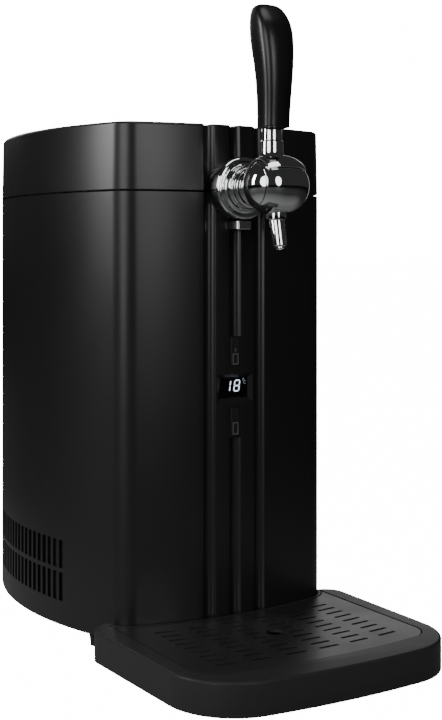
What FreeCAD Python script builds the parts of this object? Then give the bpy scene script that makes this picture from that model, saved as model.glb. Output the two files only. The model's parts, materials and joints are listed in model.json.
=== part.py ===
import FreeCAD, Part
import math
import os
from FreeCAD import Vector

# Countertop keg dispenser for 5 litre kegs. Millimetres, +Z up, front is -Y.
# Origin: centre of the footprint, on the surface the dispenser stands on.

# ---- driving dimensions -------------------------------------------------------------------
FRONT_Y = -68.25            # middle of the housing's front face
BODY_BOTTOM = 12.0
SEAM_Z = 354.5              # top rim of the housing
LID_BOTTOM = 355.7
LID_TOP = 408.1
WALL = 2.5
LID_DRAFT = 0.9             # the lid's sides lean in by this much over their height

GROOVES_X = (-23.0, 0.0, 23.0)
GROOVE_W = 10.0
GROOVE_DEPTH = 3.2
GROOVE_R = (GROOVE_W ** 2 / 4 + GROOVE_DEPTH ** 2) / (2 * GROOVE_DEPTH)
PANEL_BOTTOM, PANEL_TOP = 162.5, 242.0      # the middle groove is filled here

WELL_Y = 41.75              # the keg stands on this axis
WELL_R = 84.0
LINER_T = 1.5
WELL_FLOOR = 38.0
DECK_Z = 348.0              # underside of the plate around the well's mouth
DECK_T = 3.0

TAP_Z = 357.5               # height of the tap's axis
SHANK_R = 9.0
BARREL_Y = -126.0           # the tap barrel's cross axis
BARREL_R = 21.3
BALL_X = 4.5                # the barrel's round ends are centred this far to each side
CAP_X = 19.0                # seam between the barrel and its domed side caps
SADDLE_IN, SADDLE_OUT = 21.7, 23.1
SADDLE_HALF = 16.5
NECK_Y = -120.0             # the lever stands behind the barrel's axis
HANDLE_Z = 401.0
HANDLE_TOP = 495.0

HINGE_Y, HINGE_Z, HINGE_R = 213.75, 350.0, 4.5

KEY_W, KEY_H = 8.0, 22.0
KEYS_Z = {"button_up": 230.2, "button_down": 174.6}
WINDOW_Z0, WINDOW_Z1, WINDOW_W = 189.3, 212.0, 34.0
SCREEN_Z0, SCREEN_Z1, SCREEN_W = 193.8, 209.4, 25.0
SCREEN_DEPTH = 3.0

TRAY_FRONT = -218.25
TRAY_TOP = 24.0
TRAY_WALL = 2.5
GRATE_TOP = 23.6
GRATE_T = 2.0
GRATE_LEDGE = GRATE_TOP - GRATE_T
DRAIN_Y = -124.5

FAN_Z = 150.0
FAN_SIZE = 80.0
INLET_X, INLET_Z = -52.0, 46.0

# ---- outlines -----------------------------------------------------------------------------


def tangent_arcs(front_y, arcs, inset=0.0):
    """Right half of a plan outline: arcs that run on from each other, as (radius, end heading).
    The outline starts at the front centre with heading 0 (+X) and turns left to heading pi (-X)."""
    point, heading = Vector(0, front_y + inset, 0), 0.0
    edges = []
    for radius, end in arcs:
        r = radius - inset
        centre = point + Vector(-r * math.sin(heading), r * math.cos(heading), 0)
        middle = (heading + end) / 2
        on_arc = [centre + Vector(r * math.sin(h), -r * math.cos(h), 0) for h in (middle, end)]
        edges.append(Part.Arc(point, on_arc[0], on_arc[1]).toShape())
        point, heading = on_arc[1], end
    return edges, point, heading


def body_outline(z, inset=0.0):
    """Housing plan: bowed front, tight front corners, long bowed sides, flatter back."""
    arcs = [(295.0, 0.275), (24.0, 1.178), (292.0, 2.0), (28.0, math.pi - 0.15)]
    edges, point, heading = tangent_arcs(FRONT_Y, arcs, inset)
    rear_r = point.x / math.sin(heading)
    rear_y = point.y + rear_r * (1 + math.cos(heading))
    left = [e.mirror(Vector(0, 0, 0), Vector(1, 0, 0)) for e in edges]
    rear = Part.Arc(point, Vector(0, rear_y, 0), Vector(-point.x, point.y, 0)).toShape()
    wire = Part.Wire(Part.__sortEdges__(edges + [rear] + left))
    wire.translate(Vector(0, 0, z))
    return wire


def prism(wire, height):
    return Part.Face(wire).extrude(Vector(0, 0, height))


def body_block(z0, z1, inset=0.0):
    return prism(body_outline(z0, inset), z1 - z0)


def box(x0, x1, y0, y1, z0, z1):
    return Part.makeBox(x1 - x0, y1 - y0, z1 - z0, Vector(x0, y0, z0))


def cylinder(radius, length, base, axis):
    return Part.makeCylinder(radius, length, Vector(*base), Vector(*axis))


def post(radius, x, y, z0, z1):
    return cylinder(radius, z1 - z0, (x, y, z0), (0, 0, 1))


def along_y(radius, x, z, y0, y1):
    return cylinder(radius, y1 - y0, (x, y0, z), (0, 1, 0))


def turned_y(profile, z):
    """Solid turned about the line x = 0 at height z; the profile is (y, radius) pairs."""
    points = [Vector(0, y, z + r) for y, r in profile]
    ends = [Vector(0, profile[-1][0], z), Vector(0, profile[0][0], z)]
    face = Part.Face(Part.makePolygon(points + ends + [points[0]]))
    return face.revolve(Vector(0, 0, z), Vector(0, 1, 0), 360)


def rounded_box(x0, x1, y0, y1, z0, z1, radius, axis):
    """Box whose edges along one axis are rounded."""
    solid = box(x0, x1, y0, y1, z0, z1)
    edges = [e for e in solid.Edges if abs(e.tangentAt(0).dot(Vector(*axis))) > 0.99]
    return solid.makeFillet(radius, edges)


def fuse(shapes):
    return shapes[0].multiFuse(shapes[1:]).removeSplitter() if len(shapes) > 1 else shapes[0]


def cut(shape, tools):
    return shape.cut(Part.makeCompound(tools))


def groove_y(x):
    """Centre of a groove's cutting circle, set in from the bowed front face."""
    front = FRONT_Y + 295.0 - math.sqrt(295.0 ** 2 - x * x)
    return front + GROOVE_DEPTH - GROOVE_R


def grooves(z0, z1, extra=0.0, columns=GROOVES_X):
    return [post(GROOVE_R + extra, x, groove_y(x), z0, z1) for x in columns]


# ---- housing ------------------------------------------------------------------------------
VENT_ROWS = ((31.0, 53.7), (57.0, 79.4))
VENT_COUNT, VENT_W, VENT_PITCH, VENT_FIRST_Y = 18, 5.3, 8.35, 13.0
SIDE_R = 292.0


def side_cutters():
    """Upright air slots in both side walls, square to the bowed wall."""
    centre = Vector(118.0 - SIDE_R, 68.4, 0)
    first = math.asin((VENT_FIRST_Y - centre.y) / SIDE_R)
    cutters = []
    for i in range(VENT_COUNT):
        angle = first + i * VENT_PITCH / SIDE_R
        for z0, z1 in VENT_ROWS:
            slot = box(SIDE_R - 6, SIDE_R + 6, -VENT_W / 2, VENT_W / 2, z0, z1)
            slot.rotate(Vector(0, 0, 0), Vector(0, 0, 1), math.degrees(angle))
            slot.translate(centre)
            cutters += [slot, slot.mirror(Vector(0, 0, 0), Vector(1, 0, 0))]
    return cutters


GRILLE_HALF, GRILLE_Z0, GRILLE_Z1 = 46.0, 104.0, 196.0


def inlet_opening():
    return rounded_box(INLET_X - 10, INLET_X + 10, 180, 220, INLET_Z - 6.5, INLET_Z + 6.5,
                       4, (0, 1, 0))


def window_recess():
    """Tapered recess that leads from the front face to the screen."""
    outer = Part.makePolygon([Vector(x, FRONT_Y - 0.5, z) for x, z in
                              rectangle(WINDOW_W / 2 + 0.7, WINDOW_Z0 - 0.7, WINDOW_Z1 + 0.7)])
    inner = Part.makePolygon([Vector(x, FRONT_Y + SCREEN_DEPTH, z) for x, z in
                              rectangle(SCREEN_W / 2, SCREEN_Z0, SCREEN_Z1)])
    return Part.makeLoft([outer, inner], True, True)


def rectangle(half, z0, z1):
    return [(-half, z0), (half, z0), (half, z1), (-half, z1), (-half, z0)]


def key_slot(z, gap):
    return rounded_box(-KEY_W / 2 - gap, KEY_W / 2 + gap, FRONT_Y - 3, FRONT_Y + 12,
                       z - KEY_H / 2 - gap, z + KEY_H / 2 + gap, 1.2, (0, 1, 0))


def body_shell():
    outer = body_block(BODY_BOTTOM, SEAM_Z)
    inner = body_block(BODY_BOTTOM - 1, SEAM_Z + 1, WALL)
    shell = outer.cut(inner)
    inside = body_block(BODY_BOTTOM, SEAM_Z, WALL / 2)
    backing = [b.common(inside) for b in grooves(BODY_BOTTOM, SEAM_Z, 2.0)]
    panel_pad = box(-24, 24, FRONT_Y + 1.3, FRONT_Y + 5, PANEL_BOTTOM - 4, PANEL_TOP + 4)
    shank_pad = box(-30, 30, FRONT_Y + 1.9, FRONT_Y + 5.75, 330, SEAM_Z)
    shell = fuse([shell] + backing + [panel_pad, shank_pad])
    cutters = grooves(BODY_BOTTOM - 1, SEAM_Z + 1, 0, (GROOVES_X[0], GROOVES_X[2]))
    cutters += grooves(BODY_BOTTOM - 1, PANEL_BOTTOM, 0, (0.0,))
    cutters += grooves(PANEL_TOP, SEAM_Z + 1, 0, (0.0,))
    cutters += side_cutters()
    cutters += [window_recess()]
    cutters += [box(-SCREEN_W / 2, SCREEN_W / 2, FRONT_Y + SCREEN_DEPTH - 0.01, FRONT_Y + 8,
                    SCREEN_Z0, SCREEN_Z1)]
    cutters += [key_slot(z, 0.3) for z in KEYS_Z.values()]
    cutters += [along_y(SHANK_R, 0, TAP_Z, FRONT_Y - 5, FRONT_Y + 10)]
    cutters += [box(-GRILLE_HALF, GRILLE_HALF, 195, 220, GRILLE_Z0, GRILLE_Z1)]
    cutters += [box(-31, 31, 200, 220, HINGE_Z - 6, SEAM_Z + 1), inlet_opening()]
    return cut(shell, cutters)


def base_plate():
    plate = body_block(BODY_BOTTOM, BODY_BOTTOM + 3, WALL)
    slots = [box(x - 2, x + 2, 135, 190, BODY_BOTTOM - 1, BODY_BOTTOM + 4)
             for x in range(-60, 61, 12)]
    feet = [post(2.5, x, y, BODY_BOTTOM - 1, BODY_BOTTOM + 4) for x, y in FEET]
    return cut(plate, slots + feet + grooves(BODY_BOTTOM - 1, BODY_BOTTOM + 4, 2.0)
               + base_screw_list())


FEET = ((-94.0, -13.0), (94.0, -13.0), (-70.0, 178.0), (70.0, 178.0))


def rubber_feet():
    """Four tapered feet, each with a stem pressed into the base plate."""
    return Part.makeCompound([
        fuse([Part.makeCone(4.4, 6.2, BODY_BOTTOM, Vector(x, y, 0)),
              post(2.5, x, y, BODY_BOTTOM, BODY_BOTTOM + 4)]) for x, y in FEET])


BASE_SCREWS = ((-100.0, 60.0), (100.0, 60.0), (-60.0, -40.0), (60.0, -40.0), (0.0, 196.0))


def screw(x, y, z, axis, length, head_r=3.2, shaft_r=1.5, head_h=1.8):
    """Pan-head screw; the head stands at the given point and the shaft runs along the axis."""
    a = Vector(*axis)
    head = Part.makeCylinder(head_r, head_h, Vector(x, y, z) - a * head_h, a)
    shaft = Part.makeCylinder(shaft_r, length, Vector(x, y, z), a)
    slot_at = Vector(x, y, z) - a * head_h
    across = Vector(1, 0, 0) if abs(a.x) < 0.5 else Vector(0, 1, 0)
    side = a.cross(across)
    corner = slot_at - across * (head_r + 1) - side * 0.4 - a * 0.6
    blade = Part.makeBox(2 * head_r + 2, 0.8, 1.2)
    place = FreeCAD.Placement(FreeCAD.Matrix(across.x, side.x, a.x, corner.x,
                                             across.y, side.y, a.y, corner.y,
                                             across.z, side.z, a.z, corner.z, 0, 0, 0, 1))
    blade.Placement = place
    return fuse([head, shaft]).cut(blade)


def base_screw_list():
    return [screw(x, y, BODY_BOTTOM, (0, 0, 1), 8) for x, y in BASE_SCREWS]


def base_screws():
    return Part.makeCompound(base_screw_list())


def well_liner():
    """Cooled cup that holds the keg, with a rolled rim on the deck."""
    cup = post(WELL_R + LINER_T, 0, WELL_Y, WELL_FLOOR, DECK_Z + DECK_T + 1.5)
    rim = post(WELL_R + 7, 0, WELL_Y, DECK_Z + DECK_T, DECK_Z + DECK_T + 1.5)
    bore = post(WELL_R, 0, WELL_Y, WELL_FLOOR + LINER_T, DECK_Z + DECK_T + 3)
    return fuse([cup, rim]).cut(bore)


def keg_pad():
    pad = post(74, 0, WELL_Y, WELL_FLOOR + LINER_T, WELL_FLOOR + LINER_T + 2.5)
    rings = [post(r + 3, 0, WELL_Y, WELL_FLOOR + 3.2, WELL_FLOOR + 6)
             .cut(post(r, 0, WELL_Y, WELL_FLOOR + 3.2, WELL_FLOOR + 6)) for r in (20, 36, 52)]
    return cut(pad, rings)


FOAM_REAR = 141.0
DUCT_TOP = 90.0


def nut_recess():
    return box(-17, 17, FRONT_Y + 5.75, -50, TAP_Z - 16.5, DECK_Z + 5)


def cold_block():
    block = box(-30, 30, 115, 145, 110, 190)
    return block.cut(post(WELL_R + LINER_T, 0, WELL_Y, 100, 200))


def foam_jacket():
    """Insulation: full section above, a slimmer round one below that leaves room for air."""
    upper = body_block(DUCT_TOP, DECK_Z, WALL)
    lower = post(101, 0, WELL_Y, BODY_BOTTOM + 3, DUCT_TOP)
    slab = box(-130, 130, -80, FOAM_REAR, BODY_BOTTOM + 3, DECK_Z)
    jacket = fuse([upper, lower]).common(slab)
    tools = [post(WELL_R + LINER_T, 0, WELL_Y, WELL_FLOOR, DECK_Z + 1), cold_block(), nut_recess(),
             box(-31, 31, FRONT_Y, FRONT_Y + 17, 152, 254),
             box(-31, 31, FRONT_Y, FRONT_Y + 5.75, 329, DECK_Z + 1),
             box(-24, 24, FRONT_Y, FRONT_Y + 6, 152, 254)]
    tools += grooves(BODY_BOTTOM, DECK_Z + 1, 2.0) + base_screw_list()
    return cut(jacket, tools)


def top_deck():
    deck = body_block(DECK_Z, DECK_Z + DECK_T, WALL)
    tools = [post(WELL_R + LINER_T, 0, WELL_Y, DECK_Z - 1, DECK_Z + 5), nut_recess(),
             box(-30, 30, FRONT_Y, FRONT_Y + 5.75, DECK_Z - 1, DECK_Z + 5)]
    return cut(deck, tools + grooves(DECK_Z - 1, DECK_Z + 5, 2.0))


# ---- lid ----------------------------------------------------------------------------------
LID_HOLLOW_R = 80.0
LID_HOLLOW_TOP = 378.0
LID_SKIN = 2.0
RUN_OUT_R, RUN_OUT_DEPTH = 7.0, 2.4
RUN_OUT_SLOPE = math.radians(3.2)


def run_outs(extra=0.0):
    """Shallow troughs that carry the front grooves over the lid's edge and fade out on its top."""
    way = Vector(0, math.cos(RUN_OUT_SLOPE), math.sin(RUN_OUT_SLOPE))
    floor = LID_TOP - RUN_OUT_DEPTH
    return [Part.makeCylinder(RUN_OUT_R + extra, 60, Vector(x, FRONT_Y - 6, floor + RUN_OUT_R), way)
            for x in GROOVES_X]


def lid_cover():
    """Drafted cap with a rounded top edge; the front grooves run on over the edge."""
    outer = Part.makeLoft([body_outline(LID_BOTTOM), body_outline(LID_TOP, LID_DRAFT)], True)
    outer = outer.makeFillet(2.6, [e for e in outer.Edges
                                   if e.BoundBox.ZMin > LID_TOP - 0.1])
    inner = body_block(LID_BOTTOM - 1, LID_TOP - WALL, WALL + LID_DRAFT)
    inner = inner.fuse(body_block(LID_BOTTOM - 1, LID_BOTTOM + 3, WALL))
    cover = outer.cut(inner)
    inside = body_block(LID_BOTTOM, LID_TOP - WALL / 2, WALL / 2 + LID_DRAFT)
    backing = [b.common(inside) for b in grooves(LID_BOTTOM, LID_TOP - 1, 2.0) + run_outs(2.0)]
    cover = fuse([cover] + backing)
    tools = grooves(LID_BOTTOM - 1, LID_TOP + 1) + run_outs()
    tools += [along_y(SHANK_R + 0.8, 0, TAP_Z, FRONT_Y - 5, FRONT_Y + 12),
              box(-SHANK_R - 0.8, SHANK_R + 0.8, FRONT_Y - 5, FRONT_Y + 12, LID_BOTTOM - 1, TAP_Z)]
    return cut(cover, tools)


def lid_hollow(grow, top):
    """Room under the lid for the keg coupler, with a channel to the tap's nut."""
    room = post(LID_HOLLOW_R + grow, 0, WELL_Y, LID_BOTTOM - 5, top)
    channel = box(-20 - grow, 20 + grow, FRONT_Y - 2, 0, LID_BOTTOM - 5, top)
    return room.fuse(channel).removeSplitter()


def lid_clear():
    """Space inside the lid cover, clear of its walls and of the groove backing."""
    block = body_block(LID_BOTTOM + 0.8, LID_TOP - WALL, WALL + LID_DRAFT)
    return cut(block, grooves(LID_BOTTOM - 1, LID_TOP, 2.0) + run_outs(2.0))


def lid_liner():
    plate = lid_clear().common(box(-130, 130, -80, 220, LID_BOTTOM + 0.8, LID_BOTTOM + 2.8))
    skin = lid_hollow(LID_SKIN, LID_HOLLOW_TOP + LID_SKIN).common(lid_clear())
    return plate.fuse(skin).cut(lid_hollow(0, LID_HOLLOW_TOP)).removeSplitter()


def lid_foam():
    block = lid_clear().common(box(-130, 130, -80, 220, LID_BOTTOM + 2.8, LID_TOP - WALL))
    return block.cut(lid_hollow(LID_SKIN, LID_HOLLOW_TOP + LID_SKIN))


def lid_seal():
    """Rubber ring that closes on the liner's rim, open where the beer line passes."""
    top, bottom = LID_BOTTOM + 0.8, DECK_Z + DECK_T + 1.8
    ring = post(WELL_R + 6, 0, WELL_Y, bottom, top).cut(post(WELL_R + 1, 0, WELL_Y, bottom, top))
    return ring.cut(box(-21, 21, FRONT_Y, 0, bottom - 1, top + 1))


def hinge_barrel(x0, x1):
    return cylinder(HINGE_R, x1 - x0, (x0, HINGE_Y, HINGE_Z), (1, 0, 0))


def hinge_bore():
    return cylinder(1.8, 70, (-35, HINGE_Y, HINGE_Z), (1, 0, 0))


def hinge_bracket():
    """Pair of knuckles on leaves that lie on the housing's back."""
    solids = []
    for x0, x1 in ((-30.0, -15.5), (15.5, 30.0)):
        leaf = box(x0, x1, 205, 213.7, 322, HINGE_Z).cut(body_block(300, 360))
        web = box(x0, x1, 211.6, 213.7, 322, HINGE_Z)
        solids.append(fuse([leaf, web, hinge_barrel(x0, x1)]))
    pieces = Part.makeCompound([cut(s, [hinge_bore()] + hinge_screw_list()) for s in solids])
    return pieces


def hinge_leaf():
    """The lid's knuckle, on a leaf that lies on the lid's back."""
    back = Part.makeLoft([body_outline(LID_BOTTOM), body_outline(LID_TOP, LID_DRAFT)], True)
    leaf = box(-15, 15, 205, 213.7, LID_BOTTOM + 0.4, 380).cut(back)
    web = box(-15, 15, 211.6, 213.7, HINGE_Z, 380)
    return cut(fuse([leaf, web, hinge_barrel(-15, 15)]), [hinge_bore()] + hinge_screw_list())


def hinge_pin():
    pin = cylinder(1.75, 60.6, (-30.3, HINGE_Y, HINGE_Z), (1, 0, 0))
    heads = [cylinder(3.0, 1.2, (x, HINGE_Y, HINGE_Z), (1, 0, 0)) for x in (-31.5, 30.3)]
    return fuse([pin] + heads)


def hinge_screw_list():
    body_side = [screw(x, 213.7, 330, (0, -1, 0), 6, 2.6) for x in (-23, 23)]
    lid_side = [screw(x, 213.7, 371, (0, -1, 0), 6, 2.6) for x in (-8, 8)]
    return body_side + lid_side


# ---- tap ----------------------------------------------------------------------------------


def out(distance):
    """Y of a plane this far in front of the housing's front."""
    return FRONT_Y - distance


def tap_flange():
    profile = [(0.35, 24.8), (11.0, 24.8), (13.4, 24.2), (14.6, 22.9), (14.9, 21.0), (14.6, 19.6),
               (15.6, 18.4), (19.8, 17.6), (20.4, 16.9), (20.4, SHANK_R)]
    flange = turned_y([(out(a), r) for a, r in profile], TAP_Z)
    return flange.cut(along_y(SHANK_R, 0, TAP_Z, out(25), out(0)))


def tap_lug():
    """Small stop under the flange that keeps it from turning."""
    body = box(-7, 7, out(14), out(0.35), 325.6, 331.6)
    lug = body.makeFillet(2.2, [e for e in body.Edges if abs(e.tangentAt(0).z) > 0.9])
    return lug.cut(along_y(24.8, 0, TAP_Z, out(12), out(-1)))


def tap_neck():
    """Ringed collar between the flange and the barrel."""
    profile = [(20.4, 15.6), (21.2, 16.0), (24.4, 15.6), (25.0, 14.0), (25.8, 14.0), (26.3, 14.6),
               (29.6, 14.2), (30.2, 12.8), (31.0, 12.8), (31.5, 13.4), (34.8, 13.0), (35.4, 11.8),
               (42.0, 11.6)]
    neck = turned_y([(out(a), r) for a, r in profile], TAP_Z)
    tools = [along_y(SHANK_R, 0, TAP_Z, out(37), out(15)), along_y(4, 0, TAP_Z, out(50), out(30)),
             ball(BARREL_R)]
    return cut(neck, tools)


def tap_shank():
    tube = along_y(SHANK_R, 0, TAP_Z, out(36), -50.5)
    barb = Part.makeCone(4.4, 4.0, 4.5, Vector(0, -50.5, TAP_Z), Vector(0, 1, 0))
    return tube.fuse(barb).cut(along_y(3, 0, TAP_Z, out(40), -40))


def shank_washer():
    plate = along_y(16, 0, TAP_Z, FRONT_Y + 5.75, FRONT_Y + 6.95)
    return cut(plate, [along_y(SHANK_R, 0, TAP_Z, -70, -50), box(-20, 20, -70, -50, 354, 380)])


def hexagon(across, y0, y1, z):
    corner = across / math.sqrt(3)
    points = [Vector(corner * math.cos(math.radians(60 * i)), y0,
                     z + corner * math.sin(math.radians(60 * i))) for i in range(7)]
    return Part.Face(Part.makePolygon(points)).extrude(Vector(0, y1 - y0, 0))


def shank_nut():
    nut = hexagon(26, FRONT_Y + 6.95, FRONT_Y + 15.5, TAP_Z)
    return nut.cut(along_y(SHANK_R, 0, TAP_Z, -70, -45))


def cross_axis(radius, x0, x1):
    return cylinder(radius, x1 - x0, (x0, BARREL_Y, TAP_Z), (1, 0, 0))


def ball(radius, half=30.0):
    """Round-ended barrel about the cross axis, cut off square at half its length."""
    centre = Vector(0, BARREL_Y, TAP_Z)
    start = math.acos(min(1.0, (half - BALL_X) / radius))
    points = [Vector(BALL_X + radius * math.cos(a), 0, radius * math.sin(a))
              for a in (start, (start + math.pi / 2) / 2, math.pi / 2)]
    right = [centre + p for p in points]
    left = [centre + Vector(-p.x, 0, p.z) for p in points]
    ends = [centre + Vector(points[0].x, 0, 0), centre - Vector(points[0].x, 0, 0)]
    edges = [Part.Arc(*right).toShape(), Part.LineSegment(right[2], left[2]).toShape(),
             Part.Arc(*left).toShape(), Part.LineSegment(ends[0], ends[1]).toShape()]
    if points[0].z > 0.01:
        edges += [Part.LineSegment(ends[0], right[0]).toShape(),
                  Part.LineSegment(ends[1], left[0]).toShape()]
    outline = Part.Wire(Part.__sortEdges__(edges))
    return Part.Face(outline).revolve(centre, Vector(1, 0, 0), 360)


CORE_R = 10.0

STEM_R, STEM_BACK, LEVER_PULL = 3.0, 15.0, 35.0


def stem_bar(radius, start, end, angle):
    """Bar that stands out from the barrel's axis, leaning back by the angle in degrees."""
    a = math.radians(angle)
    way = Vector(0, math.sin(a), math.cos(a))
    return Part.makeCylinder(radius, end - start, Vector(0, BARREL_Y, TAP_Z) + way * start, way)


def stem_slot():
    """Slot in the barrel's top that the valve stem sweeps through."""
    half_w = STEM_R + 0.5
    steps = 8
    swing = [STEM_BACK + 1 - i * (LEVER_PULL + 2) / (steps - 1) for i in range(steps)]
    bars = [stem_bar(half_w, 5, 28, angle) for angle in swing]
    centre = Vector(-half_w, BARREL_Y, TAP_Z)
    far = [centre + Vector(0, math.sin(math.radians(a)), math.cos(math.radians(a))) * 28
           for a in (swing[0], (swing[0] + swing[-1]) / 2, swing[-1])]
    wedge = Part.Face(Part.makePolygon([centre] + far + [centre])).extrude(Vector(2 * half_w, 0, 0))
    return bars[0].multiFuse(bars[1:] + [wedge])


def valve_stem():
    """Pin that joins the lever to the valve core."""
    return stem_bar(STEM_R, 7.0, SADDLE_OUT, STEM_BACK)


def tap_barrel():
    """Cross barrel with round ends; it carries the valve core and the spout."""
    body = ball(BARREL_R, CAP_X)
    outlet = spout_axis_solid(4.0, 5, 26)
    inlet = along_y(4, 0, TAP_Z, BARREL_Y + 5, BARREL_Y + 30)
    return cut(body, [cross_axis(CORE_R, -30, 30), outlet, inlet, stem_slot()])


def side_caps():
    """Domed caps that close both ends and finish the barrel's round shape."""
    whole = ball(BARREL_R)
    return Part.makeCompound([
        whole.common(cross_axis(BARREL_R, side * CAP_X, side * CAP_X + 20)) if side > 0 else
        whole.common(cross_axis(BARREL_R, side * CAP_X - 20, side * CAP_X)) for side in (-1, 1)])


def valve_core():
    """Ceramic plug turned by the lever, with its cross passage."""
    core = cross_axis(CORE_R - 0.05, -CAP_X + 0.3, CAP_X - 0.3)
    passage = post(3.5, 0, BARREL_Y, TAP_Z - 12, TAP_Z + 12)
    rings = [cross_axis(12, x - 1, x + 1).cut(cross_axis(8.6, x - 1, x + 1)) for x in (-12, 12)]
    return cut(core, [passage, stem_bar(STEM_R, 7.0, 20, STEM_BACK)] + rings)


def valve_seals():
    return Part.makeCompound([
        Part.makeTorus(9.25, 0.6, Vector(x, BARREL_Y, TAP_Z), Vector(1, 0, 0)) for x in (-12, 12)])


SADDLE_FRONT, SADDLE_BACK = 55.0, 46.0      # degrees from straight up


def lever_saddle():
    """Curved cap that rocks over the barrel, with the lever's stepped neck."""
    ring = ball(SADDLE_OUT, SADDLE_HALF)
    ring = ring.makeFillet(0.9, [e for e in ring.Edges if e.Closed and e.Curve.Radius < SADDLE_OUT - 1])
    ring = ring.cut(ball(SADDLE_IN))
    reach = 60.0
    centre = Vector(0, BARREL_Y, TAP_Z)
    corners = [centre]
    for angle in (-SADDLE_FRONT, -SADDLE_FRONT / 2, 0, SADDLE_BACK / 2, SADDLE_BACK):
        a = math.radians(angle)
        corners.append(centre + Vector(0, math.sin(a), math.cos(a)) * reach)
    wedge = Part.Face(Part.makePolygon(corners + [centre]))
    wedge.translate(Vector(-40, 0, 0))
    cap = ring.common(wedge.extrude(Vector(80, 0, 0)))
    flare = Part.makeCone(11.5, 8.6, 5, Vector(0, NECK_Y, 378))
    neck = fuse([flare, post(8.6, 0, NECK_Y, 370, HANDLE_Z - 9), post(7.6, 0, NECK_Y, 380, HANDLE_Z)])
    neck = cut(neck, [ball(SADDLE_IN)])
    return cut(fuse([cap, neck]), [post(3, 0, NECK_Y, HANDLE_Z - 12, HANDLE_Z + 1),
                                   stem_bar(STEM_R, 7.0, SADDLE_OUT, STEM_BACK)])


# Handle stations: height, half width, front face y, back y.
HANDLE_STATIONS = ((HANDLE_Z, 11.0, -132.7, -112.0), (411.0, 11.2, -133.2, -112.3),
                   (421.0, 11.6, -134.0, -112.3), (431.0, 12.2, -134.8, -112.0),
                   (441.0, 12.9, -135.3, -111.2), (451.0, 13.7, -135.4, -109.8),
                   (461.0, 14.4, -134.8, -107.8), (471.0, 14.8, -133.2, -106.3),
                   (479.0, 14.5, -130.4, -105.8), (486.0, 13.5, -125.8, -105.8),
                   (491.2, 11.4, -121.3, -106.3), (494.0, 8.2, -117.6, -107.2),
                   (HANDLE_TOP, 4.8, -114.6, -108.2))
SECTION_POINTS = 16


def handle_section(z, half_w, front, back):
    """Rounded oblong, fuller than an ellipse: a broad face and soft corners."""
    middle, half_d = (front + back) / 2, (back - front) / 2
    points = []
    for i in range(SECTION_POINTS):
        a = 2 * math.pi * (i + 0.5) / SECTION_POINTS
        c, s = math.cos(a), math.sin(a)
        points.append(Vector(math.copysign(abs(c) ** 0.62, c) * half_w,
                             middle + math.copysign(abs(s) ** 0.62, s) * half_d, z))
    curve = Part.BSplineCurve()
    curve.interpolate(points, True)
    return Part.Wire(curve.toShape())


def lever_handle():
    """Moulded blade that widens upwards and leans back to a round tip."""
    blade = Part.makeLoft([handle_section(*s) for s in HANDLE_STATIONS], True, False)
    return blade.cut(post(3, 0, NECK_Y, HANDLE_Z - 1, HANDLE_Z + 25))


def handle_stud():
    return post(3, 0, NECK_Y, HANDLE_Z - 12, HANDLE_Z + 24)


SPOUT_LEAN = 12.0


def spout_axis_solid(radius, start, end, end_radius=None):
    """Round bar or cone along the spout's axis; distances are from the barrel's axis."""
    lean = math.radians(SPOUT_LEAN)
    origin = Vector(0, BARREL_Y + 4.4, TAP_Z)
    way = Vector(0, -math.sin(lean), -math.cos(lean))
    base = origin + way * start
    if end_radius is None:
        return Part.makeCylinder(radius, end - start, base, way)
    return Part.makeCone(radius, end_radius, end - start, base, way)


def spout_collar():
    collar = post(7.6, 0, BARREL_Y, 331.8, TAP_Z)
    return cut(collar, [ball(BARREL_R), spout_axis_solid(5.9, 15, 30)])


def spout_tube():
    tube = spout_axis_solid(5.9, 20.6, 47.0, 5.1)
    return cut(tube, [ball(BARREL_R), spout_axis_solid(3.2, 10, 60)])


def spout_tip():
    """Thin inner tube that lets air into the pour."""
    return spout_axis_solid(3.2, 25, 48.4).cut(spout_axis_solid(2.3, 20, 60))


# ---- beer and gas -------------------------------------------------------------------------
LINE_R = 3.4
COUPLER_TOP = 331.0


def beer_line():
    """Rigid bent tube from the tap shank to the coupler that hangs on it."""
    bend = 22.0
    start, turn = Vector(0, -46, TAP_Z), Vector(0, WELL_Y - bend, TAP_Z)
    down = Vector(0, WELL_Y, TAP_Z - bend)
    corner = bend * (1 - math.sqrt(0.5))
    middle = Vector(0, WELL_Y - corner, TAP_Z - corner)
    path = Part.Wire([Part.LineSegment(start, turn).toShape(),
                      Part.Arc(turn, middle, down).toShape(),
                      Part.LineSegment(down, Vector(0, WELL_Y, COUPLER_TOP)).toShape()])
    pipes = []
    for radius in (LINE_R, LINE_R - 1.1):
        ring = Part.Wire(Part.makeCircle(radius, start, Vector(0, 1, 0)))
        pipes.append(path.makePipeShell([ring], True, False))
    return pipes[0].cut(pipes[1])


def keg_coupler():
    """Head that locks on the keg's valve; its barb takes the beer line."""
    head = post(22, 0, WELL_Y, 300, 318)
    neck = post(12, 0, WELL_Y, 318, COUPLER_TOP)
    foot = post(15, 0, WELL_Y, 294, 300)
    grips = [post(2.5, 22.5 * math.cos(a), WELL_Y + 22.5 * math.sin(a), 299, 319)
             for a in [math.radians(30 * i) for i in range(12)]]
    return cut(fuse([head, neck, foot]), grips + [post(3, 0, WELL_Y, 290, 335)])


KNOB_STEM_R = 4.0


def gas_regulator():
    """Block between the coupler and the gas cartridge, with its pressure knob stem."""
    block = rounded_box(21, 47, WELL_Y - 9, WELL_Y + 9, 303, 321, 3, (0, 0, 1))
    stem = post(KNOB_STEM_R, 34, WELL_Y, 321, 331)
    return cut(fuse([block, stem]), [post(22, 0, WELL_Y, 300, 325)])


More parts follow.
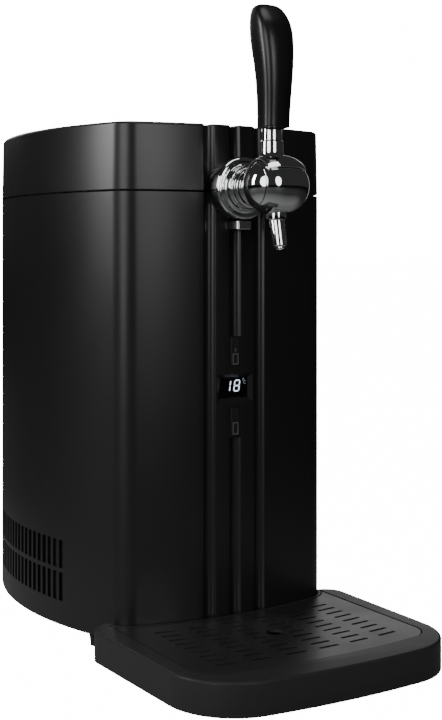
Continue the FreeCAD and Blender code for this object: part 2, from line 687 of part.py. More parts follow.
def gas_knob():
    knob = post(10, 34, WELL_Y, 326.0, 336)
    bore = post(KNOB_STEM_R + 0.05, 34, WELL_Y, 325, 331.5)
    flutes = [post(1.6, 34 + 10.6 * math.cos(a), WELL_Y + 10.6 * math.sin(a), 325, 337)
              for a in [math.radians(36 * i) for i in range(10)]]
    return cut(knob, flutes + [bore])


def gas_sleeve():
    """Screw-on sleeve with the gas cartridge inside."""
    sleeve = along_y(12, 34, 312, WELL_Y + 9, WELL_Y + 58)
    return sleeve.makeFillet(3, [e for e in sleeve.Edges if e.BoundBox.YMin > WELL_Y + 57])


# ---- cooling unit -------------------------------------------------------------------------


def thermo_module():
    return box(-20, 20, 145, 149, 130, 170)


def heat_sink():
    base = box(-45, 45, 149, 154, 105, 195)
    fins = [box(x - 0.8, x + 0.8, 154, 183.7, 105, 195) for x in range(-42, 43, 7)]
    return fuse([base] + fins)


FAN_FRONT, FAN_BACK = 184.0, 203.5
BLADE_COUNT = 7


def fan_frame():
    half = FAN_SIZE / 2
    frame = rounded_box(-half, half, FAN_FRONT, FAN_BACK, FAN_Z - half, FAN_Z + half, 4, (0, 1, 0))
    frame = frame.cut(along_y(38, 0, FAN_Z, FAN_FRONT - 1, FAN_BACK + 1))
    hub = along_y(15, 0, FAN_Z, FAN_FRONT, FAN_FRONT + 2.5)
    struts = []
    for i in range(3):
        bar = box(10, 39, FAN_FRONT, FAN_FRONT + 2.5, FAN_Z - 2, FAN_Z + 2)
        bar.rotate(Vector(0, 0, FAN_Z), Vector(0, 1, 0), 120 * i + 30)
        struts.append(bar)
    pin = along_y(2, 0, FAN_Z, FAN_FRONT, FAN_BACK - 4)
    holes = [along_y(2.1, x, z, FAN_FRONT - 1, FAN_BACK + 1)
             for x in (-35.75, 35.75) for z in (FAN_Z - 35.75, FAN_Z + 35.75)]
    return cut(fuse([frame, hub, pin] + struts), holes)


def fan_rotor():
    """Hub and blades, turning on the frame's pin."""
    hub = along_y(14, 0, FAN_Z, FAN_FRONT + 3.5, FAN_BACK - 1)
    blades = []
    for i in range(BLADE_COUNT):
        blade = Part.makeBox(24, 1.4, 16, Vector(12.5, -0.7, -8))
        blade.rotate(Vector(0, 0, 0), Vector(1, 0, 0), 48)
        blade.translate(Vector(0, (FAN_FRONT + FAN_BACK) / 2 + 1, 0))
        blade.rotate(Vector(0, 0, 0), Vector(0, 1, 0), 360.0 / BLADE_COUNT * i)
        blade.translate(Vector(0, 0, FAN_Z))
        blades.append(blade)
    rotor = fuse([hub] + blades)
    return rotor.cut(along_y(2.05, 0, FAN_Z, FAN_FRONT, FAN_BACK - 3.5))


def grille_screw_list():
    return [screw(x, 209.2, z, (0, -1, 0), 5, 2.6) for x in (-42, 42) for z in (108, 192)]


def grille_screws():
    return Part.makeCompound(grille_screw_list())


def rear_grille():
    """Slotted cover over the fan, let into the housing's back."""
    skin = body_block(GRILLE_Z0, GRILLE_Z1).cut(body_block(GRILLE_Z0 - 1, GRILLE_Z1 + 1, WALL))
    skin = skin.common(box(-GRILLE_HALF, GRILLE_HALF, 195, 220, GRILLE_Z0, GRILLE_Z1))
    slots = []
    for row in range(9):
        z = GRILLE_Z0 + 14 + row * 8
        for x0, x1 in ((-36, -2), (2, 36)):
            slots.append(rounded_box(x0, x1, 195, 220, z - 2, z + 2, 1.9, (0, 1, 0)))
    return cut(skin, slots + grille_screw_list())


def power_board():
    board = box(-98, -50, 150, 151.6, 105, 200)
    blocks = [box(-92, -74, 151.6, 169, 150, 172), box(-68, -54, 151.6, 166, 118, 140),
              cylinder(6, 16, (-84, 151.6, 120), (0, 1, 0)), cylinder(5, 14, (-62, 151.6, 160), (0, 1, 0))]
    return fuse([board] + blocks)


def power_inlet():
    """Two-pin appliance socket let into the back."""
    body = inlet_opening().common(box(-80, -20, 186, 206.5, 30, 60))
    flange = box(INLET_X - 14, INLET_X + 14, 199.5, 203.5, INLET_Z - 10, INLET_Z + 10)
    socket = rounded_box(INLET_X - 8, INLET_X + 8, 192, 215, INLET_Z - 4.2, INLET_Z + 4.2, 4, (0, 1, 0))
    pins = [along_y(1.2, INLET_X + dx, INLET_Z, 190, 203) for dx in (-4.3, 4.3)]
    return fuse([fuse([body, flange]).cut(socket)] + pins)


# ---- controls -----------------------------------------------------------------------------


def display_window():
    return box(-SCREEN_W / 2, SCREEN_W / 2, FRONT_Y + SCREEN_DEPTH, FRONT_Y + SCREEN_DEPTH + 1.4,
               SCREEN_Z0, SCREEN_Z1)


SEGMENTS = {"a": (0, 1, 1), "b": (1, 0.5, 0), "c": (1, -0.5, 0), "d": (0, -1, 1),
            "e": (-1, -0.5, 0), "f": (-1, 0.5, 0), "g": (0, 0, 1)}
DIGIT_W, DIGIT_H, STROKE, DIGIT_Z = 5.4, 9.2, 1.1, 202.8


def digit_bars(x, lit):
    """Lit bars of a seven-segment digit, leaning right."""
    bars = []
    y0 = FRONT_Y + SCREEN_DEPTH + 1.4
    for name in lit:
        side, level, flat = SEGMENTS[name]
        z = DIGIT_Z + level * (DIGIT_H - STROKE) / 2
        cx = x + side * (DIGIT_W - STROKE) / 2 + (z - DIGIT_Z) * 0.14
        half_w = (DIGIT_W - 2 * STROKE) / 2 if flat else STROKE / 2
        half_h = STROKE / 2 if flat else (DIGIT_H - 3 * STROKE) / 4 + 0.3
        bars.append(box(cx - half_w, cx + half_w, y0, y0 + 0.3, z - half_h, z + half_h))
    return bars


def display_digits():
    """Light bars of the reading and the degree mark."""
    y0 = FRONT_Y + SCREEN_DEPTH + 1.4
    mark = along_y(0.7, 8.0, 207.0, y0, y0 + 0.3)
    return Part.makeCompound(digit_bars(-3.6, "bc") + digit_bars(3.1, "abcdefg") + [mark])


def display_module():
    front = FRONT_Y + SCREEN_DEPTH + 1.7
    return rounded_box(-15, 15, front + 0.3, front + 6, 190, 211, 1, (0, 1, 0))


BOARD_Y = FRONT_Y + 11.0


def control_board():
    board = box(-20, 20, BOARD_Y, BOARD_Y + 1.6, 160, 246)
    switches = [box(-3, 3, BOARD_Y - 1.6, BOARD_Y, z - 3, z + 3) for z in KEYS_Z.values()]
    chip = box(8, 17, BOARD_Y + 1.6, BOARD_Y + 3, 220, 232)
    return fuse([board] + switches + [chip])


def button(z):
    """Push key: a bar in the front panel with a catch plate behind it."""
    key = rounded_box(-KEY_W / 2, KEY_W / 2, FRONT_Y - 0.4, FRONT_Y + 6, z - KEY_H / 2,
                      z + KEY_H / 2, 1.1, (0, 1, 0))
    catch = box(-KEY_W / 2 - 1.4, KEY_W / 2 + 1.4, FRONT_Y + 5.3, FRONT_Y + 6.9,
                z - KEY_H / 2 - 1.4, z + KEY_H / 2 + 1.4)
    return fuse([key, catch])


def key_icon(z, up):
    """Raised outline mark on a key: a small frame, open on one side."""
    y0, y1 = FRONT_Y - 0.6, FRONT_Y - 0.4
    frame = box(-2.4, 2.4, y0, y1, z - 3.4, z + 3.4).cut(box(-1.8, 1.8, y0 - 1, y1 + 1, z - 2.8, z + 2.8))
    notch = box(-3, 3, y0 - 1, y1 + 1, z + 1.2, z + 2.6) if up else box(-3, 0, y0 - 1, y1 + 1, z - 1, z + 1)
    return frame.cut(notch)


# ---- drip tray ----------------------------------------------------------------------------
TRAY_ARCS = [(629.0, 0.1045), (52.0, math.pi / 2 - 0.0192)]
BODY_GAP = 1.0


def tray_outline(z, inset=0.0, rear=-39.0):
    """Tray plan: bowed front, round corners, sides that spread a little, straight back."""
    edges, point, heading = tangent_arcs(TRAY_FRONT, TRAY_ARCS, inset)
    corner_r = 17.0 - inset
    way = Vector(math.cos(heading), math.sin(heading), 0)
    rear_y = rear - inset
    run = (rear_y - corner_r + corner_r * math.sin(math.pi / 2 - heading) - point.y) / way.y
    side_end = point + way * run
    centre = side_end + Vector(-corner_r * math.sin(heading), corner_r * math.cos(heading), 0)
    mid = (heading + math.pi) / 2
    arc_mid = centre + Vector(corner_r * math.sin(mid), -corner_r * math.cos(mid), 0)
    top = centre + Vector(0, corner_r, 0)
    half = edges + [Part.LineSegment(point, side_end).toShape(),
                    Part.Arc(side_end, arc_mid, top).toShape()]
    left = [e.mirror(Vector(0, 0, 0), Vector(1, 0, 0)) for e in half]
    back = Part.LineSegment(top, Vector(-top.x, top.y, 0)).toShape()
    wire = Part.Wire(Part.__sortEdges__(half + [back] + left))
    wire.translate(Vector(0, 0, z))
    return wire


def clear_of_body(grow, z0=-1.0, z1=60.0):
    return body_block(z0, z1, -grow)


def grate_outline(z, inset=0.0):
    """Grate plan inside the tray's rim, wider rim at the front than at the sides."""
    arcs = [(560.0, 0.13), (20.0, math.pi / 2)]
    edges, point, heading = tangent_arcs(-193.5, arcs, inset)
    half_w = 98.5 - inset
    shift = half_w - point.x
    moved = [e.translated(Vector(shift, 0, 0)) for e in edges[1:]]
    first_end = edges[0].Vertexes[-1].Point
    bridge = Part.LineSegment(first_end, first_end + Vector(shift, 0, 0)).toShape()
    side = Part.LineSegment(Vector(half_w, point.y, 0), Vector(half_w, -30, 0)).toShape()
    half = [edges[0], bridge] + moved + [side]
    left = [e.mirror(Vector(0, 0, 0), Vector(1, 0, 0)) for e in half]
    back = Part.LineSegment(Vector(half_w, -30, 0), Vector(-half_w, -30, 0)).toShape()
    wire = Part.Wire(Part.__sortEdges__(half + [back] + left))
    wire.translate(Vector(0, 0, z))
    return wire


def grate_block(z0, z1, inset, body_gap):
    return prism(grate_outline(z0, inset), z1 - z0).cut(clear_of_body(body_gap))


def drip_tray():
    """Moulded tray: outer skirt, flat rim, and a pan that is lower in the middle."""
    outer = prism(tray_outline(0), TRAY_TOP).cut(clear_of_body(BODY_GAP))
    top_edges = [e for e in outer.Edges if e.BoundBox.ZMin > TRAY_TOP - 0.1]
    outer = outer.makeFillet(2.0, [e for e in top_edges if e.BoundBox.YMin < -150
                                   or abs(e.BoundBox.XMax) > 112 or abs(e.BoundBox.XMin) > 112])
    skirt_inside = prism(tray_outline(-1, TRAY_WALL), TRAY_TOP - TRAY_WALL + 1)
    skirt_inside = skirt_inside.cut(clear_of_body(BODY_GAP + TRAY_WALL))
    pan_outside = grate_block(-1, TRAY_TOP, -2.0, BODY_GAP + 0.5)
    under = skirt_inside.cut(pan_outside)
    pan_floor_gap = grate_block(-1, 1.0, -1.9, BODY_GAP + 0.6)
    ledge = grate_block(GRATE_LEDGE, TRAY_TOP + 1, -0.4, BODY_GAP + 2.4)
    pan = grate_block(3.5, TRAY_TOP + 1, 3.0, BODY_GAP + 5.0)
    tray = cut(outer, [under, pan_floor_gap, ledge, pan])
    hooks = [box(x - 9, x + 9, -68, -48, 3, 9) for x in (-60, 60)]
    return fuse([tray] + hooks)


SLOT_COLUMNS = (-70.0, -42.0, -14.0, 14.0, 42.0, 70.0)
SLOT_L, SLOT_W, SLOT_ROWS, SLOT_PITCH, SLOT_FRONT = 17.5, 3.0, 9, 11.0, -174.0
ROW_R = 600.0
DRAIN_R = 6.4


def grate_slots():
    """Short slots in rows that follow the bowed front, kept clear of the drain hole."""
    slots = []
    for row in range(SLOT_ROWS):
        for x in SLOT_COLUMNS:
            angle = math.asin(x / ROW_R)
            y = SLOT_FRONT + row * SLOT_PITCH + ROW_R * (1 - math.cos(angle))
            slot = rounded_box(-SLOT_L / 2, SLOT_L / 2, -SLOT_W / 2, SLOT_W / 2, 15, 30, 1.4, (0, 0, 1))
            slot.rotate(Vector(0, 0, 0), Vector(0, 0, 1), math.degrees(angle))
            slot.translate(Vector(x, y, 0))
            slots.append(slot.cut(post(DRAIN_R + 5, 0, DRAIN_Y, 14, 31)))
    return slots


def drip_grate():
    plate = grate_block(GRATE_LEDGE, GRATE_TOP, 0, BODY_GAP + 3.0)
    lip = grate_block(GRATE_LEDGE - 3, GRATE_LEDGE, 3.6, BODY_GAP + 5.8)
    lip = lip.cut(grate_block(GRATE_LEDGE - 4, GRATE_LEDGE + 1, 5.4, BODY_GAP + 7.6))
    return cut(fuse([plate, lip]), grate_slots() + [post(DRAIN_R, 0, DRAIN_Y, 10, 30)])


# ---- the parts ----------------------------------------------------------------------------
SCREWS = hinge_screw_list()
PARTS = {
    "body_shell": body_shell(), "base_plate": base_plate(), "rubber_feet": rubber_feet(),
    "base_screws": base_screws(), "well_liner": well_liner(), "keg_pad": keg_pad(),
    "foam_jacket": foam_jacket(), "top_deck": top_deck(), "lid_cover": lid_cover(),
    "lid_liner": lid_liner(), "lid_foam": lid_foam(), "lid_seal": lid_seal(),
    "hinge_bracket": hinge_bracket(), "hinge_leaf": hinge_leaf(), "hinge_pin": hinge_pin(),
    "hinge_body_screws": Part.makeCompound(SCREWS[:2]),
    "hinge_lid_screws": Part.makeCompound(SCREWS[2:]), "tap_flange": tap_flange(),
    "tap_lug": tap_lug(), "tap_neck": tap_neck(), "tap_shank": tap_shank(),
    "shank_washer": shank_washer(), "shank_nut": shank_nut(), "tap_barrel": tap_barrel(),
    "side_caps": side_caps(), "valve_stem": valve_stem(), "valve_core": valve_core(),
    "valve_seals": valve_seals(),
    "lever_saddle": lever_saddle(), "lever_handle": lever_handle(), "handle_stud": handle_stud(),
    "spout_collar": spout_collar(), "spout_tube": spout_tube(), "spout_tip": spout_tip(),
    "beer_line": beer_line(), "keg_coupler": keg_coupler(), "gas_regulator": gas_regulator(),
    "gas_knob": gas_knob(), "gas_sleeve": gas_sleeve(), "cold_block": cold_block(),
    "thermo_module": thermo_module(), "heat_sink": heat_sink(), "fan_frame": fan_frame(),
    "fan_rotor": fan_rotor(), "rear_grille": rear_grille(), "grille_screws": grille_screws(),
    "power_board": power_board(), "power_inlet": power_inlet(), "display_window": display_window(),
    "display_digits": display_digits(), "display_module": display_module(),
    "control_board": control_board(), "button_up": button(KEYS_Z["button_up"]),
    "button_down": button(KEYS_Z["button_down"]), "icon_up": key_icon(KEYS_Z["button_up"] - 2, True),
    "icon_down": key_icon(KEYS_Z["button_down"] - 3, False), "drip_tray": drip_tray(),
    "drip_grate": drip_grate(),
}

# The walls that screws pass through are drilled for them.
for name in ("body_shell", "lid_cover", "lid_foam"):
    PARTS[name] = cut(PARTS[name], SCREWS)

os.makedirs("parts", exist_ok=True)
for name, shape in PARTS.items():
    shape.exportStep("parts/" + name + ".step")
    print(name, len(shape.Solids), round(shape.Volume), shape.isValid())
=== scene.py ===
import json
import math

import bmesh
import bpy
from mathutils import Matrix, Vector


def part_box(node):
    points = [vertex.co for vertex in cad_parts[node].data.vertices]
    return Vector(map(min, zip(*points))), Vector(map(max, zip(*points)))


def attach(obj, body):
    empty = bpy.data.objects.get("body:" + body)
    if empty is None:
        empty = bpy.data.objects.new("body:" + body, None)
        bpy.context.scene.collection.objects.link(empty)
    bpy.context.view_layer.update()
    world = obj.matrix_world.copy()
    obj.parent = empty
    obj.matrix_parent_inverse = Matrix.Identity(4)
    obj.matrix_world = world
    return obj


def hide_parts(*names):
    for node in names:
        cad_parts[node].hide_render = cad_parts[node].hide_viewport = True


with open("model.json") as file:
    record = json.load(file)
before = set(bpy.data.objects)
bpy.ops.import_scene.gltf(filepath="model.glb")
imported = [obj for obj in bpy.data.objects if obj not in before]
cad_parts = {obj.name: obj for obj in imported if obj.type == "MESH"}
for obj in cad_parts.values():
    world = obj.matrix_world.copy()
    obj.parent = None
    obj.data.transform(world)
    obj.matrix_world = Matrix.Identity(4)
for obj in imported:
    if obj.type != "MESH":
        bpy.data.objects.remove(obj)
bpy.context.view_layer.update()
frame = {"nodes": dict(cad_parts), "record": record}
scene = bpy.context.scene

# ---- room ---------------------------------------------------------------------------------
# A plain pale floor and a white surround that only the camera sees. Everything that reflects
# sees a dark studio with soft boxes, which draw the highlights on the black shell, and a floor
# with a painted pool of light: its colour is pale near the object and fades into the dark.
CAMERA_AT = Vector((-0.537, -0.9348, 0.3064))
CAMERA_LOOKS = Vector((0.5150, 0.8572, 0.0))

camera_data = bpy.data.cameras.new("camera")
camera_data.sensor_width = 36.0
camera_data.lens = 64.9
camera_data.shift_x = 0.005
camera_data.shift_y = -0.147
camera = bpy.data.objects.new("camera", camera_data)
camera.location = CAMERA_AT
camera.rotation_euler = CAMERA_LOOKS.to_track_quat("-Z", "Y").to_euler()
scene.collection.objects.link(camera)
scene.camera = camera

WHITE_SEEN = 16.0
DARK_REFLECTED = 0.028
FLOOR_SEEN = 15.7
FLOOR_HALF = 60.0
POOL_LIGHT_FAR, POOL_LIGHT_NEAR = 0.04, 0.35
POOL_LIGHT_FADE = (0.3, 0.8)


def seen_and_reflected(tree, out, seen, reflected):
    """Shows one shader to the camera and another to every other ray."""
    path = tree.nodes.new("ShaderNodeLightPath")
    mix = tree.nodes.new("ShaderNodeMixShader")
    tree.links.new(path.outputs["Is Camera Ray"], mix.inputs["Fac"])
    tree.links.new(reflected, mix.inputs[1])
    tree.links.new(seen, mix.inputs[2])
    tree.links.new(mix.outputs["Shader"], out)


world = bpy.data.worlds.new("studio")
world.use_nodes = True
scene.world = world
backgrounds = []
for strength in (WHITE_SEEN, DARK_REFLECTED):
    background = world.node_tree.nodes.new("ShaderNodeBackground")
    background.inputs["Color"].default_value = (1, 1, 1, 1)
    background.inputs["Strength"].default_value = strength
    backgrounds.append(background.outputs["Background"])
seen_and_reflected(world.node_tree, world.node_tree.nodes["World Output"].inputs["Surface"],
                   *backgrounds)

bm = bmesh.new()
bmesh.ops.create_grid(bm, x_segments=1, y_segments=1, size=FLOOR_HALF)
floor_mesh = bpy.data.meshes.new("floor")
bm.to_mesh(floor_mesh)
bm.free()
floor = bpy.data.objects.new("floor", floor_mesh)
scene.collection.objects.link(floor)
paper = bpy.data.materials.new("pale_paper")
paper.use_nodes = True
paper_nodes, paper_links = paper.node_tree.nodes, paper.node_tree.links
paper_shader = paper_nodes["Principled BSDF"]
paper_shader.inputs["Roughness"].default_value = 0.9
# painted pool of light: the floor's colour is pale close to the object and darkens further out,
# standing in for the lamps' fall-off, seen only in reflections
place = paper_nodes.new("ShaderNodeTexCoord")
painted_pool = paper_nodes.new("ShaderNodeTexGradient")
painted_pool.gradient_type = "SPHERICAL"
pool_fade = paper_nodes.new("ShaderNodeMapRange")
pool_fade.inputs["From Min"].default_value, pool_fade.inputs["From Max"].default_value = POOL_LIGHT_FADE
pool_fade.inputs["To Min"].default_value = POOL_LIGHT_FAR
pool_fade.inputs["To Max"].default_value = POOL_LIGHT_NEAR
paper_links.new(place.outputs["Object"], painted_pool.inputs["Vector"])
paper_links.new(painted_pool.outputs["Fac"], pool_fade.inputs["Value"])
paper_links.new(pool_fade.outputs["Result"], paper_shader.inputs["Base Color"])
glow = paper_nodes.new("ShaderNodeEmission")
glow.inputs["Strength"].default_value = FLOOR_SEEN
both = paper_nodes.new("ShaderNodeAddShader")
paper_links.new(glow.outputs["Emission"], both.inputs[0])
paper_links.new(paper_shader.outputs["BSDF"], both.inputs[1])
seen_and_reflected(paper.node_tree, paper_nodes["Material Output"].inputs["Surface"],
                   both.outputs["Shader"], paper_shader.outputs["BSDF"])
floor_mesh.materials.append(paper)

LIGHTS_AIM = Vector((0, 0, 0.25))


def soft_box(name, azimuth, distance, height, size, power, shape="RECTANGLE"):
    """Area light round the object; azimuth is in degrees from +Y towards +X."""
    light = bpy.data.lights.new(name, "AREA")
    light.shape = shape
    light.size, light.size_y = size
    light.energy = power
    lamp = bpy.data.objects.new(name, light)
    angle = math.radians(azimuth)
    lamp.location = (distance * math.sin(angle), distance * math.cos(angle), height)
    lamp.rotation_euler = (LIGHTS_AIM - lamp.location).to_track_quat("-Z", "Y").to_euler()
    scene.collection.objects.link(lamp)


soft_box("side_box", -73, 2.2, 1.1, (0.4, 1.3), 26)
soft_box("camera_left_box", -121, 2.2, 0.9, (1.25, 1.6), 17, "ELLIPSE")
soft_box("front_box", -178, 2.2, 0.9, (0.9, 1.4), 11, "ELLIPSE")
soft_box("rear_right_box", 38, 2.2, 0.75, (1.1, 1.0), 3.0)
soft_box("rear_box", 5, 2.4, 1.3, (1.4, 1.0), 9)
soft_box("top_box", 180, 0.4, 2.0, (1.2, 0.6), 6)

# ---- housing shell ------------------------------------------------------------------------
# Injection-moulded ABS shell with a bowed front, long bowed sides and three upright flutes,
# in a fine satin texture. The middle flute is filled by the control strip around the display.
FRONT_Y = -68.25
FACE_R, FACE_END = 295.0, 0.275
# front corner, side and back corner: radius, headings at its two ends, steps
OUTLINE = ((24.0, FACE_END, 1.178, 14), (292.0, 1.178, 2.0, 40), (28.0, 2.0, math.pi - 0.15, 16))
FLUTE_X = 23.0
FLUTE_W, FLUTE_DEPTH, LIP_R = 10.0, 3.2, 0.7
FLUTE_BACKING = 2.2         # wall behind a flute
FLUTE_DRAFT = 0.6           # share of the face's draft that the flutes' bottoms take
FLUTE_R = (FLUTE_W ** 2 / 4 + FLUTE_DEPTH ** 2) / (2 * FLUTE_DEPTH)
WALL = 2.5
shell_low, shell_high = (corner * 1000 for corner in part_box("body_shell"))
BASE_Z, SEAM_Z = shell_low.z, shell_high.z


def flute_bottom(inset, grow):
    """How far the bottom of a flute lies behind the face; grow is the wall kept behind it."""
    return FLUTE_DEPTH + grow if grow else FLUTE_DEPTH + FLUTE_DRAFT * max(inset, 0)


def face_runs(inset, grow):
    """Runs of the fluted front from its middle: (radius, turn, steps), turning left if positive."""
    far = FACE_R + FLUTE_R + grow - flute_bottom(inset, grow)
    near, reach = FACE_R - inset - LIP_R, FLUTE_R + grow + LIP_R
    at_face = math.acos((near ** 2 + far ** 2 - reach ** 2) / (2 * near * far))
    at_flute = math.acos((reach ** 2 + far ** 2 - near ** 2) / (2 * reach * far))
    lip = (LIP_R, at_face + at_flute, 4)
    side = math.asin(FLUTE_X / FACE_R)
    flute_r, face_r = FLUTE_R + grow, FACE_R - inset
    return [(flute_r, -at_flute, 5), lip, (face_r, side - 2 * at_face, 4), lip,
            (flute_r, -2 * at_flute, 10), lip, (face_r, FACE_END - side - at_face, 12)]


def verts_in(geom):
    """The vertices among what an operator returned."""
    return [v for v in geom if isinstance(v, bmesh.types.BMVert)]


def edges_in(geom):
    """The edges among what an operator returned."""
    return [e for e in geom if isinstance(e, bmesh.types.BMEdge)]


def run_line(bm, start, runs):
    """Draws arcs, and straights of radius 0, as one line from a start point that heads along +X."""
    vert, heading = bm.verts.new(start), 0.0
    for radius, turn, steps in runs:
        if not radius:
            fresh = bm.verts.new(vert.co + Vector((math.cos(heading), math.sin(heading), 0)) * turn)
            bm.edges.new((vert, fresh))
            vert = fresh
            continue
        to_centre = Vector((-math.sin(heading), math.cos(heading), 0)) * math.copysign(radius, turn)
        made = bmesh.ops.spin(bm, geom=[vert], cent=vert.co + to_centre, axis=(0, 0, 1),
                              angle=turn, steps=steps)
        vert = verts_in(made["geom_last"])[0]
        heading += turn
    return vert, heading


def housing_ring(bm, z, inset=0.0, grow=0.0, fluted=True):
    """Closed plan outline of the housing at one height; returns its edges."""
    before = set(bm.edges)
    start = Vector((0, FRONT_Y + (flute_bottom(inset, grow) if fluted else inset), z))
    face = face_runs(inset, grow) if fluted else [(FACE_R - inset, FACE_END, 30)]
    runs = face + [(r - inset, end - begin, steps) for r, begin, end, steps in OUTLINE]
    last, heading = run_line(bm, start, runs)
    rear_r = last.co.x / math.sin(heading)
    centre = Vector((0, last.co.y + rear_r * math.cos(heading), z))
    bmesh.ops.spin(bm, geom=[last], cent=centre, axis=(0, 0, 1), angle=math.pi - heading, steps=10)
    half = list(set(bm.edges) - before)
    bmesh.ops.mirror(bm, geom=half + list({v for e in half for v in e.verts}), axis="X",
                     merge_dist=0.01)
    return list(set(bm.edges) - before)


def stack(bm, rings):
    """Joins closed rings one after another into a wall."""
    for low, high in zip(rings, rings[1:]):
        bmesh.ops.bridge_loops(bm, edges=low + high)


def carve(bm, tool, operation="DIFFERENCE"):
    """Boolean of two closed bmeshes; uses both up and returns the result."""
    made = []
    for name, source in (("worked", bm), ("tool", tool)):
        bmesh.ops.recalc_face_normals(source, faces=source.faces)
        mesh = bpy.data.meshes.new(name)
        source.to_mesh(mesh)
        source.free()
        made.append(bpy.data.objects.new(name, mesh))
        scene.collection.objects.link(made[-1])
    cut = made[0].modifiers.new("cut", "BOOLEAN")
    cut.operation, cut.solver, cut.object = operation, "EXACT", made[1]
    cut.use_self = True
    result = bmesh.new()
    graph = bpy.context.evaluated_depsgraph_get()
    result.from_mesh(made[0].evaluated_get(graph).to_mesh())
    for ob in made:
        mesh = ob.data
        bpy.data.objects.remove(ob)
        bpy.data.meshes.remove(mesh)
    return result


def add_box(bm, x0, x1, y0, y1, z0, z1, round_by=0.0, axis=1, segments=4):
    """Adds a box and returns its corners; the edges along one axis may be rounded."""
    middle = Vector(((x0 + x1) / 2, (y0 + y1) / 2, (z0 + z1) / 2))
    made = bmesh.ops.create_cube(bm, size=1.0, matrix=Matrix.Translation(middle)
                                 @ Matrix.Diagonal((x1 - x0, y1 - y0, z1 - z0, 1)))
    verts = made["verts"]
    if round_by:
        edges = [e for e in {e for v in verts for e in v.link_edges}
                 if abs((e.verts[0].co - e.verts[1].co).normalized()[axis]) > 0.99]
        made = bmesh.ops.bevel(bm, geom=edges, offset=round_by, offset_type="OFFSET",
                               affect="EDGES", segments=segments, profile=0.5, material=-1)
        verts = list({v for f in made["faces"] for v in f.verts} | {v for v in verts if v.is_valid})
    return verts


def piece(name, bm, body, material, replaced=(), sharp=32.0):
    """Scales a bmesh drawn in millimetres to metres and makes it a piece of its body."""
    bmesh.ops.scale(bm, vec=(0.001,) * 3, verts=bm.verts)
    mesh = bpy.data.meshes.new(name)
    bm.to_mesh(mesh)
    bm.free()
    mesh.shade_smooth()
    mesh.set_sharp_from_angle(angle=math.radians(sharp))
    mesh.materials.append(material)
    ob = bpy.data.objects.new(name, mesh)
    scene.collection.objects.link(ob)
    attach(ob, body)
    if replaced:
        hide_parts(*replaced)
    return ob


def soften(ob, width, segments=2, angle=40.0):
    """Rounds the crisp edges of a finished piece by a width in millimetres."""
    bevel = ob.modifiers.new("soft_edges", "BEVEL")
    bevel.width = width * 0.001
    bevel.segments = segments
    bevel.limit_method = "ANGLE"
    bevel.angle_limit = math.radians(angle)
    return ob


def make_material(name, colour, roughness, metallic=0.0, specular=0.5):
    """Principled material with its constants on the shader's own sockets."""
    material = bpy.data.materials.new(name)
    material.use_nodes = True
    shader = material.node_tree.nodes["Principled BSDF"]
    shader.inputs["Base Color"].default_value = (*colour, 1)
    shader.inputs["Roughness"].default_value = roughness
    shader.inputs["Metallic"].default_value = metallic
    shader.inputs["Specular IOR Level"].default_value = specular
    return material


def vary_roughness(material, scale, low, high, stretch=(1, 1, 1)):
    """Lets the roughness drift between two values in soft clouds."""
    nodes, links = material.node_tree.nodes, material.node_tree.links
    place = nodes.new("ShaderNodeTexCoord")
    mapping = nodes.new("ShaderNodeMapping")
    mapping.inputs["Scale"].default_value = stretch
    noise = nodes.new("ShaderNodeTexNoise")
    noise.inputs["Scale"].default_value = scale
    noise.inputs["Detail"].default_value = 3.0
    spread = nodes.new("ShaderNodeMapRange")
    spread.inputs["From Min"].default_value = 0.3
    spread.inputs["From Max"].default_value = 0.7
    spread.inputs["To Min"].default_value = low
    spread.inputs["To Max"].default_value = high
    links.new(place.outputs["Object"], mapping.inputs["Vector"])
    links.new(mapping.outputs["Vector"], noise.inputs["Vector"])
    links.new(noise.outputs["Fac"], spread.inputs["Value"])
    links.new(spread.outputs["Result"], nodes["Principled BSDF"].inputs["Roughness"])


def grain(material, scale, depth, strength=0.25, kind="NOISE", stretch=(1, 1, 1)):
    """Adds a fine relief: moulded texture, brushing or cells; depth in metres."""
    nodes, links = material.node_tree.nodes, material.node_tree.links
    place = nodes.new("ShaderNodeTexCoord")
    mapping = nodes.new("ShaderNodeMapping")
    mapping.inputs["Scale"].default_value = stretch
    texture = nodes.new("ShaderNodeTexNoise" if kind == "NOISE" else "ShaderNodeTexVoronoi")
    texture.inputs["Scale"].default_value = scale
    bump = nodes.new("ShaderNodeBump")
    bump.inputs["Strength"].default_value = strength
    bump.inputs["Distance"].default_value = depth
    links.new(place.outputs["Object"], mapping.inputs["Vector"])
    links.new(mapping.outputs["Vector"], texture.inputs["Vector"])
    links.new(texture.outputs[0], bump.inputs["Height"])
    links.new(bump.outputs["Normal"], nodes["Principled BSDF"].inputs["Normal"])


satin_black = make_material("satin_black_shell", (0.011, 0.011, 0.011), 0.3)
vary_roughness(satin_black, 9.0, 0.28, 0.33)
grain(satin_black, 2600.0, 0.00004, 0.16)

shell = bmesh.new()
outer = [housing_ring(shell, z) for z in (BASE_Z, SEAM_Z)]
inner = [housing_ring(shell, z, WALL, FLUTE_BACKING) for z in (SEAM_Z, BASE_Z)]
stack(shell, outer + inner + outer[:1])

# control strip: fills the middle flute, flush with the face
STRIP_Z0, STRIP_Z1, STRIP_HALF, STRIP_T = 162.5, 242.0, 5.3, 4.2
strip = bmesh.new()
run_line(strip, (0, FRONT_Y, STRIP_Z0), [(FACE_R, STRIP_HALF / FACE_R, 4)])
bmesh.ops.mirror(strip, geom=strip.verts[:] + strip.edges[:], axis="X", merge_dist=0.01)
deep = bmesh.ops.extrude_edge_only(strip, edges=strip.edges[:])["geom"]
bmesh.ops.translate(strip, vec=(0, STRIP_T, 0), verts=verts_in(deep))
tall = bmesh.ops.extrude_face_region(strip, geom=strip.faces[:])["geom"]
bmesh.ops.translate(strip, vec=(0, 0, STRIP_Z1 - STRIP_Z0), verts=verts_in(tall))
shell = carve(shell, strip, "UNION")

